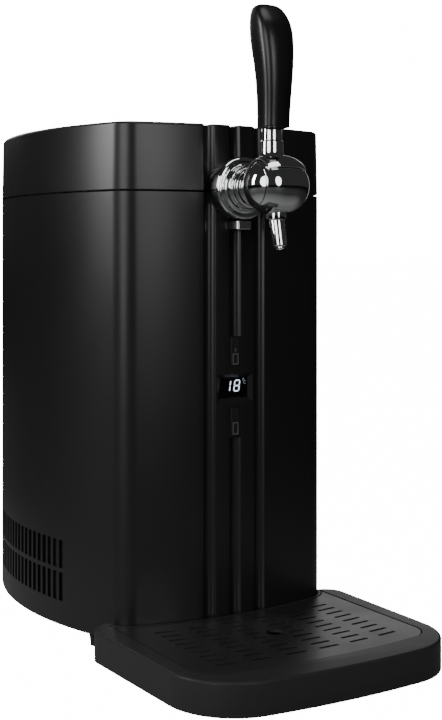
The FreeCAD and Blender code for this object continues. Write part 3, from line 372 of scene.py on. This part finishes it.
# display recess: half width, bottom and top at the face and at the screen
WINDOW = (17.7, 188.6, 212.7)
SCREEN = (12.5, 193.8, 209.4)
SCREEN_Y = FRONT_Y + 3.0
openings = bmesh.new()
corners = []
for half, z0, z1, y in ((*WINDOW, FRONT_Y - 0.5), (*SCREEN, SCREEN_Y), (*SCREEN, SCREEN_Y + 5)):
    corners.append([openings.verts.new((x, y, z)) for x, z in
                    ((-half, z0), (half, z0), (half, z1), (-half, z1))])
for near, back in zip(corners, corners[1:]):
    for i in range(4):
        openings.faces.new((near[i], near[(i + 1) % 4], back[(i + 1) % 4], back[i]))
openings.faces.new(corners[0][::-1])
openings.faces.new(corners[-1])

KEY_HALF_W, KEY_HALF_H, KEY_GAP = 4.0, 11.0, 0.3
KEY_HEIGHTS = {"up": 230.2, "down": 174.6}
for z in KEY_HEIGHTS.values():
    add_box(openings, -KEY_HALF_W - KEY_GAP, KEY_HALF_W + KEY_GAP, FRONT_Y - 3, FRONT_Y + 12,
            z - KEY_HALF_H - KEY_GAP, z + KEY_HALF_H + KEY_GAP, 1.2)

# openings in the back, as (x0, x1, y0, y1, z0, z1)
GRILLE_OPENING = (-46, 46, 195, 225, 104, 196)
HINGE_OPENING = (-31, 31, 200, 225, 344, SEAM_Z + 2)
SOCKET_OPENING = (-62, -42, 180, 225, 39.5, 52.5)
add_box(openings, *GRILLE_OPENING)
add_box(openings, *HINGE_OPENING)
add_box(openings, *SOCKET_OPENING, 4.0)

TAP_Z, SHANK_R = 357.5, 9.0


def shank_bore(bm, radius, y):
    """Adds a bar along the tap shank's axis, centred at a depth."""
    bmesh.ops.create_cone(bm, cap_ends=True, segments=48, radius1=radius, radius2=radius, depth=20,
                          matrix=Matrix.Translation((0, y, TAP_Z))
                          @ Matrix.Rotation(math.pi / 2, 4, "X"))


shank_bore(openings, SHANK_R, FRONT_Y + 2)

# air slots in both side walls, square to the bowed wall
VENT_ROWS = ((31.0, 53.7), (57.0, 79.4))
VENT_COUNT, VENT_W, VENT_PITCH, VENT_FIRST_Y = 18, 5.3, 8.35, 13.0
VENT_REACH = 6.0
SIDE_R, SIDE_CENTRE = 292.0, Vector((-174.0, 68.4, 0))
first = math.asin((VENT_FIRST_Y - SIDE_CENTRE.y) / SIDE_R)
to_left = Matrix.Scale(-1, 4, (1, 0, 0))
for i in range(VENT_COUNT):
    turn = Matrix.Translation(SIDE_CENTRE) @ Matrix.Rotation(first + i * VENT_PITCH / SIDE_R, 4, "Z")
    for z0, z1 in VENT_ROWS:
        for place in (turn, to_left @ turn):
            vent = add_box(openings, SIDE_R - VENT_REACH, SIDE_R + VENT_REACH,
                           -VENT_W / 2, VENT_W / 2, z0, z1, 0.5, 0, 1)
            bmesh.ops.transform(openings, matrix=place, verts=vent)
shell = carve(shell, openings)
piece("housing_shell", shell, "housing", satin_black, ["body_shell"], 30)

# ---- lid ----------------------------------------------------------------------------------
# Drafted cap with a rounded top edge in the same plastic; the flutes run on over its edge.
# It parts above the tap shank and closes on the housing with a narrow shadow gap.
lid_low, lid_high = (corner * 1000 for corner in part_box("lid_cover"))
LID_Z0, LID_Z1 = lid_low.z, lid_high.z
LID_DRAFT, LID_EDGE_R, LID_EDGE_STEPS = 0.9, 2.6, 6
SEAM_CHAMFER = (0.4, 0.5)   # in and up from the lid's lower edge
SHANK_GAP = 0.8
# tilted troughs, over which the flutes fade out on the lid's top
RUN_OUT_R, RUN_OUT_DEPTH, RUN_OUT_SLOPE = 7.0, 2.4, math.radians(3.2)


def aimed(at, along):
    """Matrix that carries the Z axis to a line through a point."""
    return Matrix.Translation(at) @ Vector(along).to_track_quat("Z", "Y").to_matrix().to_4x4()


lid = bmesh.new()
levels = [(LID_Z0, SEAM_CHAMFER[0]), (LID_Z0 + SEAM_CHAMFER[1], 0.0),
          (LID_Z1 - LID_EDGE_R, LID_DRAFT)]
for i in range(1, LID_EDGE_STEPS + 1):
    angle = math.pi / 2 * i / LID_EDGE_STEPS
    levels.append((LID_Z1 - LID_EDGE_R * (1 - math.sin(angle)),
                   LID_DRAFT + LID_EDGE_R * (1 - math.cos(angle))))
outer = [housing_ring(lid, z, inset) for z, inset in levels]
inner = [housing_ring(lid, LID_Z0, WALL, FLUTE_BACKING),
         housing_ring(lid, LID_Z1 - WALL, WALL + LID_DRAFT, FLUTE_BACKING)]
stack(lid, [inner[1], inner[0]] + outer)
bmesh.ops.contextual_create(lid, geom=outer[-1])
bmesh.ops.contextual_create(lid, geom=inner[1])
relief = bmesh.new()
shank_bore(relief, SHANK_R + SHANK_GAP, FRONT_Y + 3)
add_box(relief, -SHANK_R - SHANK_GAP, SHANK_R + SHANK_GAP, FRONT_Y - 7, FRONT_Y + 13,
        LID_Z0 - 2, TAP_Z)
way = Vector((0, math.cos(RUN_OUT_SLOPE), math.sin(RUN_OUT_SLOPE)))
for x in (-FLUTE_X, 0.0, FLUTE_X):
    start = Vector((x, FRONT_Y - 6, LID_Z1 - RUN_OUT_DEPTH + RUN_OUT_R))
    bmesh.ops.create_cone(relief, cap_ends=True, segments=64, radius1=RUN_OUT_R, radius2=RUN_OUT_R,
                          depth=60, matrix=aimed(start + 30 * way, way))
piece("lid_cap", carve(lid, relief), "lid", satin_black, ["lid_cover"], 30)

# ---- tap: flange, stop lug and ringed neck -------------------------------------------------
# Turned and polished brass, chrome plated. The flange hides the hole in the shell, the lug keeps
# it from turning, and the neck steps down in rings to the valve body.
chrome = make_material("polished_chrome", (0.86, 0.87, 0.88), 0.05, metallic=1.0)
vary_roughness(chrome, 55.0, 0.035, 0.075)
grain(chrome, 240.0, 0.00003, 0.06)


def turned(profile, place, closed=True, segments=96, round_by=0.0, round_from=18.0):
    """Turns a profile of (distance, radius) pairs about the Z axis of a place.
    Edges that bend by more than round_from degrees are rounded."""
    bm = bmesh.new()
    verts = [bm.verts.new((radius, 0, along)) for along, radius in profile]
    pairs = list(zip(verts, verts[1:])) + ([(verts[-1], verts[0])] if closed else [])
    edges = [bm.edges.new(pair) for pair in pairs]
    bmesh.ops.spin(bm, geom=verts + edges, cent=(0, 0, 0), axis=(0, 0, 1), angle=2 * math.pi,
                   steps=segments, use_merge=True)
    bmesh.ops.remove_doubles(bm, verts=bm.verts, dist=0.001)
    bmesh.ops.recalc_face_normals(bm, faces=bm.faces)
    if round_by:
        crisp = [e for e in bm.edges if len(e.link_faces) == 2
                 and e.calc_face_angle() > math.radians(round_from)]
        bmesh.ops.bevel(bm, geom=crisp, offset=round_by, offset_type="OFFSET", affect="EDGES",
                        segments=3, profile=0.5, material=-1, clamp_overlap=True)
    bmesh.ops.transform(bm, matrix=place, verts=bm.verts)
    return bm


tap_root = aimed((0, FRONT_Y, TAP_Z), (0, -1, 0))
FLANGE = ((0.35, SHANK_R), (0.35, 24.8), (11.0, 24.8), (13.2, 24.3), (14.4, 23.2), (14.9, 21.6),
          (14.6, 19.8), (15.4, 18.5), (19.8, 17.6), (20.4, 16.9), (20.4, SHANK_R))
flange = turned(FLANGE, tap_root, round_by=0.5)
piece("tap_rosette", flange, "housing", chrome, ["tap_flange"])

LUG = (-7, 7, FRONT_Y - 14, FRONT_Y - 0.35, 325.6, 332.2)
lug = bmesh.new()
add_box(lug, *LUG, round_by=2.4, axis=2, segments=5)
soften(piece("tap_stop", lug, "housing", chrome, ["tap_lug"]), 0.5)

NECK = ((20.4, 8.0), (20.4, 15.4), (21.2, 16.0), (24.2, 15.6), (24.9, 14.1), (25.7, 14.1),
        (26.4, 14.7), (29.4, 14.2), (30.1, 12.9), (30.9, 12.9), (31.6, 13.5), (34.6, 13.0),
        (35.3, 11.8), (41.0, 11.6), (41.0, 8.0))
neck = turned(NECK, tap_root, round_by=0.3)
piece("tap_rings", neck, "housing", chrome, ["tap_neck"])

# ---- tap: valve body, end caps and spout ---------------------------------------------------
# Round-ended chrome barrel that lies across the tap and holds the valve plug, closed at each
# side by a screwed-in dome; the spout hangs from a collar and leans forward.
BARREL = Vector((0, -126.0, TAP_Z))
BARREL_R, BALL_X, CAP_X = 21.3, 4.5, 19.0


def ball_radius(radius, x):
    """The round-ended barrel's radius at a place on its axis."""
    return math.sqrt(max(radius ** 2 - max(abs(x) - BALL_X, 0.0) ** 2, 0.0))


def ball_profile(radius, x_from, x_to, steps):
    """(x, radius) pairs along the round-ended barrel between two places on its axis."""
    places = [x_from + (x_to - x_from) * i / steps for i in range(steps + 1)]
    return [(x, ball_radius(radius, x)) for x in places]


BARREL_END = CAP_X - 0.4
barrel = turned([(-BARREL_END, 0.0), *ball_profile(BARREL_R, -BARREL_END, BARREL_END, 60),
                 (BARREL_END, 0.0)],
                aimed(BARREL, (1, 0, 0)), closed=False, segments=128, round_by=0.45, round_from=40)
# slot in the top that the valve stem sweeps through
STEM_SLOT = (-3.5, 3.5, BARREL.y - 7.6, BARREL.y + 5.4, TAP_Z + 12, TAP_Z + 26)
slot = bmesh.new()
add_box(slot, *STEM_SLOT)
piece("tap_body", carve(barrel, slot), "housing", chrome, ["tap_barrel"])


def joined(*parts):
    """Puts several closed bmeshes in one, unchanged, and uses them up."""
    bm = bmesh.new()
    for part in parts:
        mesh = bpy.data.meshes.new("part")
        part.to_mesh(mesh)
        part.free()
        bm.from_mesh(mesh)
        bpy.data.meshes.remove(mesh)
    return bm


DOME_FROM, DOME_END, DOME_STEPS = CAP_X + 0.1, BALL_X + BARREL_R, 24
dome = []
for i in range(DOME_STEPS, -1, -1):
    x = DOME_END - (DOME_END - DOME_FROM) * (1 - math.cos(math.pi / 2 * i / DOME_STEPS))
    dome.append((x, ball_radius(BARREL_R, x)))
dome.append((DOME_FROM, 0.0))
caps = joined(*(turned(dome, aimed(BARREL, (side, 0, 0)), closed=False, segments=128,
                       round_by=0.35, round_from=40) for side in (-1, 1)))
piece("tap_domes", caps, "housing", chrome, ["side_caps"])

COLLAR_Z = 331.8
COLLAR = ((0, 5.9), (0, 7.2), (0.8, 7.6), (7.6, 7.6), (8.4, 7.1), (12, 7.1), (12, 5.9))
collar = turned(COLLAR, aimed((0, BARREL.y, COLLAR_Z), (0, 0, 1)), round_by=0.35, segments=72)
piece("spout_ring", collar, "housing", chrome, ["spout_collar"])

SPOUT_LEAN, SPOUT_BACK = math.radians(12.0), 4.4
SPOUT = ((17.0, 3.3), (17.0, 6.0), (46.2, 5.1), (47.0, 4.4), (47.0, 3.3))
AIR_TUBE = ((25, 2.3), (25, 3.2), (48.1, 3.2), (48.4, 2.9), (48.4, 2.3))
spout_line = aimed((0, BARREL.y + SPOUT_BACK, TAP_Z),
                   (0, -math.sin(SPOUT_LEAN), -math.cos(SPOUT_LEAN)))
spout = turned(SPOUT, spout_line, round_by=0.3, segments=72)
piece("spout", spout, "housing", chrome, ["spout_tube"])
tip = turned(AIR_TUBE, spout_line, round_by=0.15, segments=48)
piece("air_tube", tip, "housing", chrome, ["spout_tip"])

# ---- tap lever -----------------------------------------------------------------------------
# A chrome saddle rocks over the barrel about its cross axis and carries a stepped neck; the
# handle is a moulded blade in satin black plastic, screwed down on a stud.
SADDLE_IN, SADDLE_OUT, SADDLE_HALF = 21.7, 23.1, 16.5
SADDLE_FRONT, SADDLE_BACK = math.radians(55.0), math.radians(46.0)
NECK_Y = -120.0

saddle = bmesh.new()
section = ball_profile(SADDLE_OUT, -SADDLE_HALF, SADDLE_HALF, 32) + \
    ball_profile(SADDLE_IN, SADDLE_HALF - 0.2, 0.2 - SADDLE_HALF, 32)
verts = [saddle.verts.new((x, 0, radius)) for x, radius in section]
edges = [saddle.edges.new(pair) for pair in zip(verts, verts[1:] + verts[:1])]
bmesh.ops.rotate(saddle, verts=verts, cent=(0, 0, 0),
                 matrix=Matrix.Rotation(SADDLE_FRONT, 3, "X"))
swept = bmesh.ops.spin(saddle, geom=verts + edges, cent=(0, 0, 0), axis=(1, 0, 0),
                       angle=-SADDLE_FRONT - SADDLE_BACK, steps=48)
for ring in (edges, edges_in(swept["geom_last"])):
    bmesh.ops.contextual_create(saddle, geom=ring)
bmesh.ops.recalc_face_normals(saddle, faces=saddle.faces)
crisp = [e for e in saddle.edges if e.calc_face_angle(0.0) > math.radians(45)]
bmesh.ops.bevel(saddle, geom=crisp, offset=0.5, offset_type="OFFSET", affect="EDGES", segments=3,
                profile=0.5, material=-1, clamp_overlap=True)
bmesh.ops.translate(saddle, vec=BARREL, verts=saddle.verts)
piece("lever_cap", saddle, "lever", chrome, ["lever_saddle"])

HANDLE_Z, HANDLE_TOP = (corner.z * 1000 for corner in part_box("lever_handle"))
STEM = ((375.0, 7.0), (375.0, 15.0), (376.6, 12.6), (378.4, 10.9), (380.4, 9.7), (382.8, 9.0),
        (391.0, 8.7), (391.6, 7.9), (HANDLE_Z + 0.5, 7.7), (HANDLE_Z + 0.5, 3.1))
stem = turned(STEM, aimed((0, NECK_Y, 0), (0, 0, 1)), round_by=0.35, segments=72, round_from=30)
piece("lever_neck", stem, "lever", chrome)

handle_black = make_material("satin_black_handle", (0.006, 0.006, 0.006), 0.3)
vary_roughness(handle_black, 20.0, 0.27, 0.36)
grain(handle_black, 1500.0, 0.00006, 0.2)
# height, half width, front face y, back y
BLADE = ((HANDLE_Z, 11.0, -132.7, -112.0), (411.0, 11.2, -133.2, -112.3),
         (421.0, 11.6, -134.0, -112.3), (431.0, 12.2, -134.8, -112.0), (441.0, 12.9, -135.3, -111.2),
         (451.0, 13.7, -135.4, -109.8), (461.0, 14.4, -134.8, -107.8), (471.0, 14.8, -133.2, -106.3),
         (479.0, 14.5, -130.4, -105.8), (486.0, 13.5, -125.8, -105.8), (491.2, 11.4, -121.3, -106.3),
         (494.0, 8.2, -117.6, -107.2), (HANDLE_TOP - 0.05, 4.8, -114.6, -108.2))


def between(before, low, high, after, t):
    """Smooth value between two stations that also heeds their neighbours."""
    rise, fall = (high - before) / 2, (after - low) / 2
    return (low * (2 * t ** 3 - 3 * t ** 2 + 1) + rise * (t ** 3 - 2 * t ** 2 + t)
            + high * (3 * t ** 2 - 2 * t ** 3) + fall * (t ** 3 - t ** 2))


STATION_STEPS = 4
BLADE_ROUND = 0.62          # power that makes the section fuller than an ellipse
blade = bmesh.new()
rings = []
for i in range(len(BLADE) - 1):
    near = [BLADE[max(0, min(i + k, len(BLADE) - 1))] for k in (-1, 0, 1, 2)]
    for step in range(STATION_STEPS + (i == len(BLADE) - 2)):
        z, half_w, front, back = (between(*values, step / STATION_STEPS) for values in zip(*near))
        ring = bmesh.ops.create_circle(blade, segments=72, radius=1.0)["verts"]
        for vert in ring:
            x, y = (math.copysign(abs(c) ** BLADE_ROUND, c) for c in vert.co.xy)
            vert.co = (x * half_w, (front + back) / 2 + y * (back - front) / 2, min(z, HANDLE_TOP))
        rings.append(list({e for v in ring for e in v.link_edges}))
stack(blade, rings)
for ring in (rings[0], rings[-1]):
    bmesh.ops.contextual_create(blade, geom=ring)
bmesh.ops.recalc_face_normals(blade, faces=blade.faces)
handle = piece("handle_blade", blade, "lever", handle_black, ["lever_handle"], 50)
soften(handle, 0.8, 3)

# ---- display and keys ----------------------------------------------------------------------
# A smoked screen at the bottom of a bevelled recess shows the temperature in slanted bars of
# light; the keys above and below are flush bars with a raised outline mark.
screen_black = make_material("smoked_screen", (0.002, 0.002, 0.0025), 0.08)
vary_roughness(screen_black, 120.0, 0.06, 0.1)
pane = bmesh.new()
add_box(pane, -SCREEN[0], SCREEN[0], SCREEN_Y + 0.02, SCREEN_Y + 1.4, SCREEN[1], SCREEN[2])
soften(piece("screen_pane", pane, "housing", screen_black, ["display_window"]), 0.15)


def lit_material(name, colour, light, strength):
    """Plastic that also gives off light of its own."""
    material = make_material(name, colour, 0.4)
    shader = material.node_tree.nodes["Principled BSDF"]
    shader.inputs["Emission Color"].default_value = (*light, 1)
    shader.inputs["Emission Strength"].default_value = strength
    return material


cool_light = lit_material("digit_light", (0.75, 0.8, 1.0), (0.72, 0.8, 1.0), 2.0)
dim_light = lit_material("mark_light", (0.25, 0.26, 0.3), (0.7, 0.75, 0.9), 0.1)

DIGIT_W, DIGIT_H, STROKE, DIGIT_Z, SLANT = 5.4, 9.2, 0.85, 202.8, 0.14
STROKE_GAP, LIGHT_T = 0.25, 0.3
# side and level of each bar's middle
SEGMENTS = {"a": (0, 1), "b": (1, 0.5), "c": (1, -0.5), "d": (0, -1), "e": (-1, -0.5),
            "f": (-1, 0.5), "g": (0, 0)}
DIGIT_Y = SCREEN_Y - 0.04
digits = bmesh.new()
for x, lit in ((-5.2, "bc"), (3.2, "abcdefg")):
    for name in lit:
        side, level = SEGMENTS[name]
        flat = side == 0
        length = (DIGIT_W - STROKE) if flat else (DIGIT_H - STROKE) / 2
        half = length / 2 - STROKE_GAP
        point = STROKE / 2
        outline = [(-half, 0), (-half + point, -point), (half - point, -point), (half, 0),
                   (half - point, point), (-half + point, point)]
        centre = (x + side * (DIGIT_W - STROKE) / 2, DIGIT_Z + level * (DIGIT_H - STROKE) / 2)
        bar = [(centre[0] + a, centre[1] + b) if flat else (centre[0] + b, centre[1] + a)
               for a, b in outline]
        face = digits.faces.new([digits.verts.new((px + (pz - DIGIT_Z) * SLANT, DIGIT_Y, pz))
                                 for px, pz in bar])
        deep = bmesh.ops.extrude_face_region(digits, geom=[face])["geom"]
        bmesh.ops.translate(digits, vec=(0, LIGHT_T, 0), verts=verts_in(deep))
bmesh.ops.recalc_face_normals(digits, faces=digits.faces)
piece("reading", digits, "housing", cool_light, ["display_digits"], 20)

# a ring and an open ring, as (radius, x, z, degrees of turn)
MARK = ((0.75, 9.3, 207.6, 360), (1.15, 10.6, 205.2, 270))
MARK_HALF = 0.2
mark = bmesh.new()
for radius, x, z, turn in MARK:
    start = Vector((x + radius * math.cos(math.pi / 4), DIGIT_Y, z + radius * math.sin(math.pi / 4)))
    loop = [mark.verts.new(start + Vector(d)) for d in
            ((-MARK_HALF, 0, -MARK_HALF), (MARK_HALF, 0, MARK_HALF),
             (MARK_HALF, LIGHT_T, MARK_HALF), (-MARK_HALF, LIGHT_T, -MARK_HALF))]
    line = [mark.edges.new(pair) for pair in zip(loop, loop[1:] + loop[:1])]
    swept = bmesh.ops.spin(mark, geom=loop + line, cent=(x, DIGIT_Y, z), axis=(0, -1, 0),
                           angle=math.radians(turn), steps=24, use_merge=turn == 360)
    if turn < 360:
        bmesh.ops.contextual_create(mark, geom=line)
        bmesh.ops.contextual_create(mark, geom=edges_in(swept["geom_last"]))
bmesh.ops.recalc_face_normals(mark, faces=mark.faces)
piece("degree_mark", mark, "housing", dim_light, (), 40)

key_black = make_material("key_black", (0.009, 0.009, 0.0095), 0.42)
vary_roughness(key_black, 60.0, 0.38, 0.46)
grain(key_black, 2600.0, 0.00004, 0.2)
icon_grey = make_material("key_mark", (0.13, 0.13, 0.13), 0.3)
vary_roughness(icon_grey, 90.0, 0.25, 0.38)
KEY_FACE, CATCH = FRONT_Y - 0.35, 1.4
SIGN_Z = {"up": (219.8, 228.4), "down": (165.0, 174.4)}
SIGN_HALF, SIGN_LINE = 2.6, 0.7
SIGN_Y = (FRONT_Y - 0.58, FRONT_Y - 0.3)
for way, z in KEY_HEIGHTS.items():
    key = bmesh.new()
    z0, z1 = z - KEY_HALF_H, z + KEY_HALF_H
    add_box(key, -KEY_HALF_W, KEY_HALF_W, KEY_FACE, FRONT_Y + 6, z0, z1, 1.1)
    add_box(key, -KEY_HALF_W - CATCH, KEY_HALF_W + CATCH, FRONT_Y + 5.3, FRONT_Y + 6.9,
            z0 - CATCH, z1 + CATCH)
    bar = piece("key_bar_" + way, key, "key_" + way, key_black, ["button_" + way])
    soften(bar, 0.35, 3)
    sign = bmesh.new()
    z0, z1 = SIGN_Z[way]
    for low, high in ((z0, z0 + SIGN_LINE), (z1 - SIGN_LINE, z1)):
        add_box(sign, -SIGN_HALF, SIGN_HALF, *SIGN_Y, low, high)
    for x in (-SIGN_HALF, SIGN_HALF - SIGN_LINE):
        add_box(sign, x, x + SIGN_LINE, *SIGN_Y, z0 + SIGN_LINE, z1 - SIGN_LINE)
    if way == "up":
        add_box(sign, -SIGN_LINE / 2, SIGN_LINE / 2, *SIGN_Y, z1 + 1.4, z1 + 4.2)
    piece("key_sign_" + way, sign, "key_" + way, icon_grey, ["icon_" + way])

# ---- drip tray -----------------------------------------------------------------------------
# Moulded tray with a bowed front and round corners; its back follows the housing with a small
# gap, and a flat rim runs round the pocket that the grate drops into.
TRAY_FRONT, TRAY_TOP, TRAY_WALL = -218.25, 24.0, 2.5
BODY_GAP, GRATE_TOP, GRATE_T = 1.0, 23.6, 2.0
LEDGE_Z = GRATE_TOP - GRATE_T


def raised(bm, z0, z1):
    """Prism from the closed outline that a bmesh holds at z0."""
    faces = bmesh.ops.contextual_create(bm, geom=bm.edges[:])["faces"]
    tall = bmesh.ops.extrude_face_region(bm, geom=faces)["geom"]
    bmesh.ops.translate(bm, vec=(0, 0, z1 - z0), verts=verts_in(tall))
    return bm


def body_block(gap, z0, z1):
    """The housing's plan without its flutes, grown by a gap."""
    bm = bmesh.new()
    housing_ring(bm, z0, -gap, fluted=False)
    return raised(bm, z0, z1)


def plan_block(front_y, runs, z0, z1):
    """Prism from half of a plan, whose runs start at the middle of the front."""
    bm = bmesh.new()
    last = run_line(bm, (0, front_y, z0), runs)[0]
    last.co.x = max(last.co.x, 0.0)
    bm.edges.new((last, bm.verts.new((0, last.co.y, z0))))
    bmesh.ops.mirror(bm, geom=bm.verts[:] + bm.edges[:], axis="X", merge_dist=0.01)
    return raised(bm, z0, z1)


TRAY_BOW, TRAY_SPREAD = 0.1045, 0.0192


def tray_block(z0, z1, inset=0.0):
    """The tray's plan: bowed front, round corner, a side that spreads a little, rear corner."""
    runs = [(629.0 - inset, TRAY_BOW, 16), (52.0 - inset, math.pi / 2 - TRAY_SPREAD - TRAY_BOW, 22),
            (0, 108.1, 1), (17.0 - inset, math.pi / 2 + TRAY_SPREAD, 10)]
    return plan_block(TRAY_FRONT + inset, runs, z0, z1)


GRATE_FRONT, GRATE_BOW = -193.5, 0.1459


def grate_block(z0, z1, inset, gap):
    """The grate's plan, cut off at a gap from the housing."""
    runs = [(560.0 - inset, GRATE_BOW, 14), (20.0 - inset, math.pi / 2 - GRATE_BOW, 12),
            (0, 128.0, 1), (5.0, math.pi / 2, 3)]
    return carve(plan_block(GRATE_FRONT + inset, runs, z0, z1), body_block(gap, z0 - 1, z1 + 1))


tray_black = make_material("satin_black_tray", (0.03, 0.03, 0.03), 0.36, specular=0.14)
vary_roughness(tray_black, 14.0, 0.33, 0.41)
grain(tray_black, 2200.0, 0.00005, 0.22)

tray = tray_block(0, TRAY_TOP)
for z, offset, segments in ((TRAY_TOP, 2.0, 5), (0, 0.6, 2)):
    rim = [e for e in tray.edges if all(abs(v.co.z - z) < 0.01 for v in e.verts)]
    bmesh.ops.bevel(tray, geom=rim, offset=offset, offset_type="OFFSET", affect="EDGES",
                    segments=segments, profile=0.5, material=-1)
tray = carve(tray, body_block(BODY_GAP, -2, 60))
# pocket for the grate with its ledge, pan below it, and the hollow between the pan and the skirt
PAN_FLOOR = 3.5
tray = carve(tray, grate_block(LEDGE_Z, TRAY_TOP + 1, -1.1, BODY_GAP + 2.0))
tray = carve(tray, grate_block(PAN_FLOOR, TRAY_TOP + 1, 3.0, BODY_GAP + 5.0))
hollow = carve(tray_block(-1, TRAY_TOP - TRAY_WALL, TRAY_WALL),
               body_block(BODY_GAP + TRAY_WALL, -2, 60))
tray = carve(tray, carve(hollow, grate_block(-2, TRAY_TOP, -2.0, BODY_GAP + 0.5)))
soften(piece("drip_pan", tray, "tray", tray_black, ["drip_tray"]), 0.35, 2, 45)

# ---- drip grate ----------------------------------------------------------------------------
# Loose moulded plate with rows of short slots that follow the bowed front, and a round drain
# hole under the spout; a low lip underneath centres it in the pocket.
SLOT_COLUMNS = (-70.0, -42.0, -14.0, 14.0, 42.0, 70.0)
SLOT_L, SLOT_W, SLOT_ROWS, SLOT_PITCH, SLOT_FRONT, ROW_R = 17.5, 3.0, 9, 11.0, -174.0, 600.0
DRAIN_Y, DRAIN_R, DRAIN_LAND = -124.5, 6.4, 5.0


def upright(radius, z0, z1):
    """Round bar through the drain hole's place."""
    bm = bmesh.new()
    bmesh.ops.create_cone(bm, cap_ends=True, segments=48, radius1=radius, radius2=radius,
                          depth=z1 - z0, matrix=Matrix.Translation((0, DRAIN_Y, (z0 + z1) / 2)))
    return bm


slots = bmesh.new()
for row in range(SLOT_ROWS):
    for x in SLOT_COLUMNS:
        angle = math.asin(x / ROW_R)
        y = SLOT_FRONT + row * SLOT_PITCH + ROW_R * (1 - math.cos(angle))
        corners = add_box(slots, -SLOT_L / 2, SLOT_L / 2, -SLOT_W / 2, SLOT_W / 2, 15, 30, 1.4, 2)
        bmesh.ops.transform(slots, verts=corners, matrix=Matrix.Translation((x, y, 0))
                            @ Matrix.Rotation(angle, 4, "Z"))
slots = carve(slots, upright(DRAIN_R + DRAIN_LAND, 14, 31))
plate = carve(grate_block(LEDGE_Z, GRATE_TOP, 0.0, BODY_GAP + 3.0),
              joined(slots, upright(DRAIN_R, 14, 31)))
LIP_TOP, LIP_BOTTOM = LEDGE_Z + 0.05, LEDGE_Z - 3
lip = carve(grate_block(LIP_BOTTOM, LIP_TOP, 3.6, BODY_GAP + 5.8),
            grate_block(LIP_BOTTOM - 1, LEDGE_Z + 1, 5.4, BODY_GAP + 7.6))
grate_black = make_material("satin_black_grate", (0.016, 0.016, 0.016), 0.38, specular=0.9)
vary_roughness(grate_black, 30.0, 0.35, 0.42)
grain(grate_black, 1900.0, 0.00005, 0.22)
grate = piece("slotted_grate", joined(plate, lip), "grate", grate_black, ["drip_grate"])
soften(grate, 0.5, 3, 45)

# ---- inside and back: the CAD nodes keep their shape ---------------------------------------
# What shows when the lid is up, through the slots, and from behind and below: a drawn well,
# white liners, dark foam, steel hinge and screws, and the cooling unit behind its grille.
finishes = {"black_shell": satin_black, "chrome": chrome, "key_black": key_black}
# slot, colour, roughness, metallic, then the scale and depth of its relief
for slot_name, colour, roughness, metallic, scale, depth in (
        ("stainless", (0.62, 0.62, 0.63), 0.22, 1.0, 700.0, 0.00002),
        ("screw_steel", (0.55, 0.55, 0.56), 0.28, 1.0, 900.0, 0.00002),
        ("aluminium", (0.68, 0.69, 0.7), 0.32, 1.0, 500.0, 0.00003),
        ("copper_brass", (0.68, 0.47, 0.2), 0.25, 1.0, 500.0, 0.00003),
        ("white_plastic", (0.62, 0.62, 0.6), 0.42, 0.0, 1500.0, 0.00004),
        ("rubber", (0.012, 0.012, 0.012), 0.75, 0.0, 900.0, 0.0001),
        ("foam", (0.018, 0.018, 0.019), 0.9, 0.0, 380.0, 0.0008),
        ("ceramic", (0.8, 0.79, 0.76), 0.15, 0.0, 800.0, 0.00002),
        ("board", (0.01, 0.09, 0.03), 0.35, 0.0, 300.0, 0.00005)):
    look = make_material(slot_name + "_look", colour, roughness, metallic)
    brushed = (1, 1, 14) if slot_name in ("stainless", "aluminium") else (1, 1, 1)
    vary_roughness(look, 40.0, roughness * 0.85, roughness * 1.2, stretch=brushed)
    grain(look, scale, depth, 0.3, "VORONOI" if slot_name == "foam" else "NOISE", brushed)
    finishes[slot_name] = look
slots_of = {part["node"]: part["material_slot"] for part in frame["record"]["subparts"]}
for name, node in frame["nodes"].items():
    if node.hide_render:
        continue
    look = finishes.get(slots_of[name], satin_black)
    for i in range(len(node.material_slots)):
        node.material_slots[i].link = "OBJECT"
        node.material_slots[i].material = look
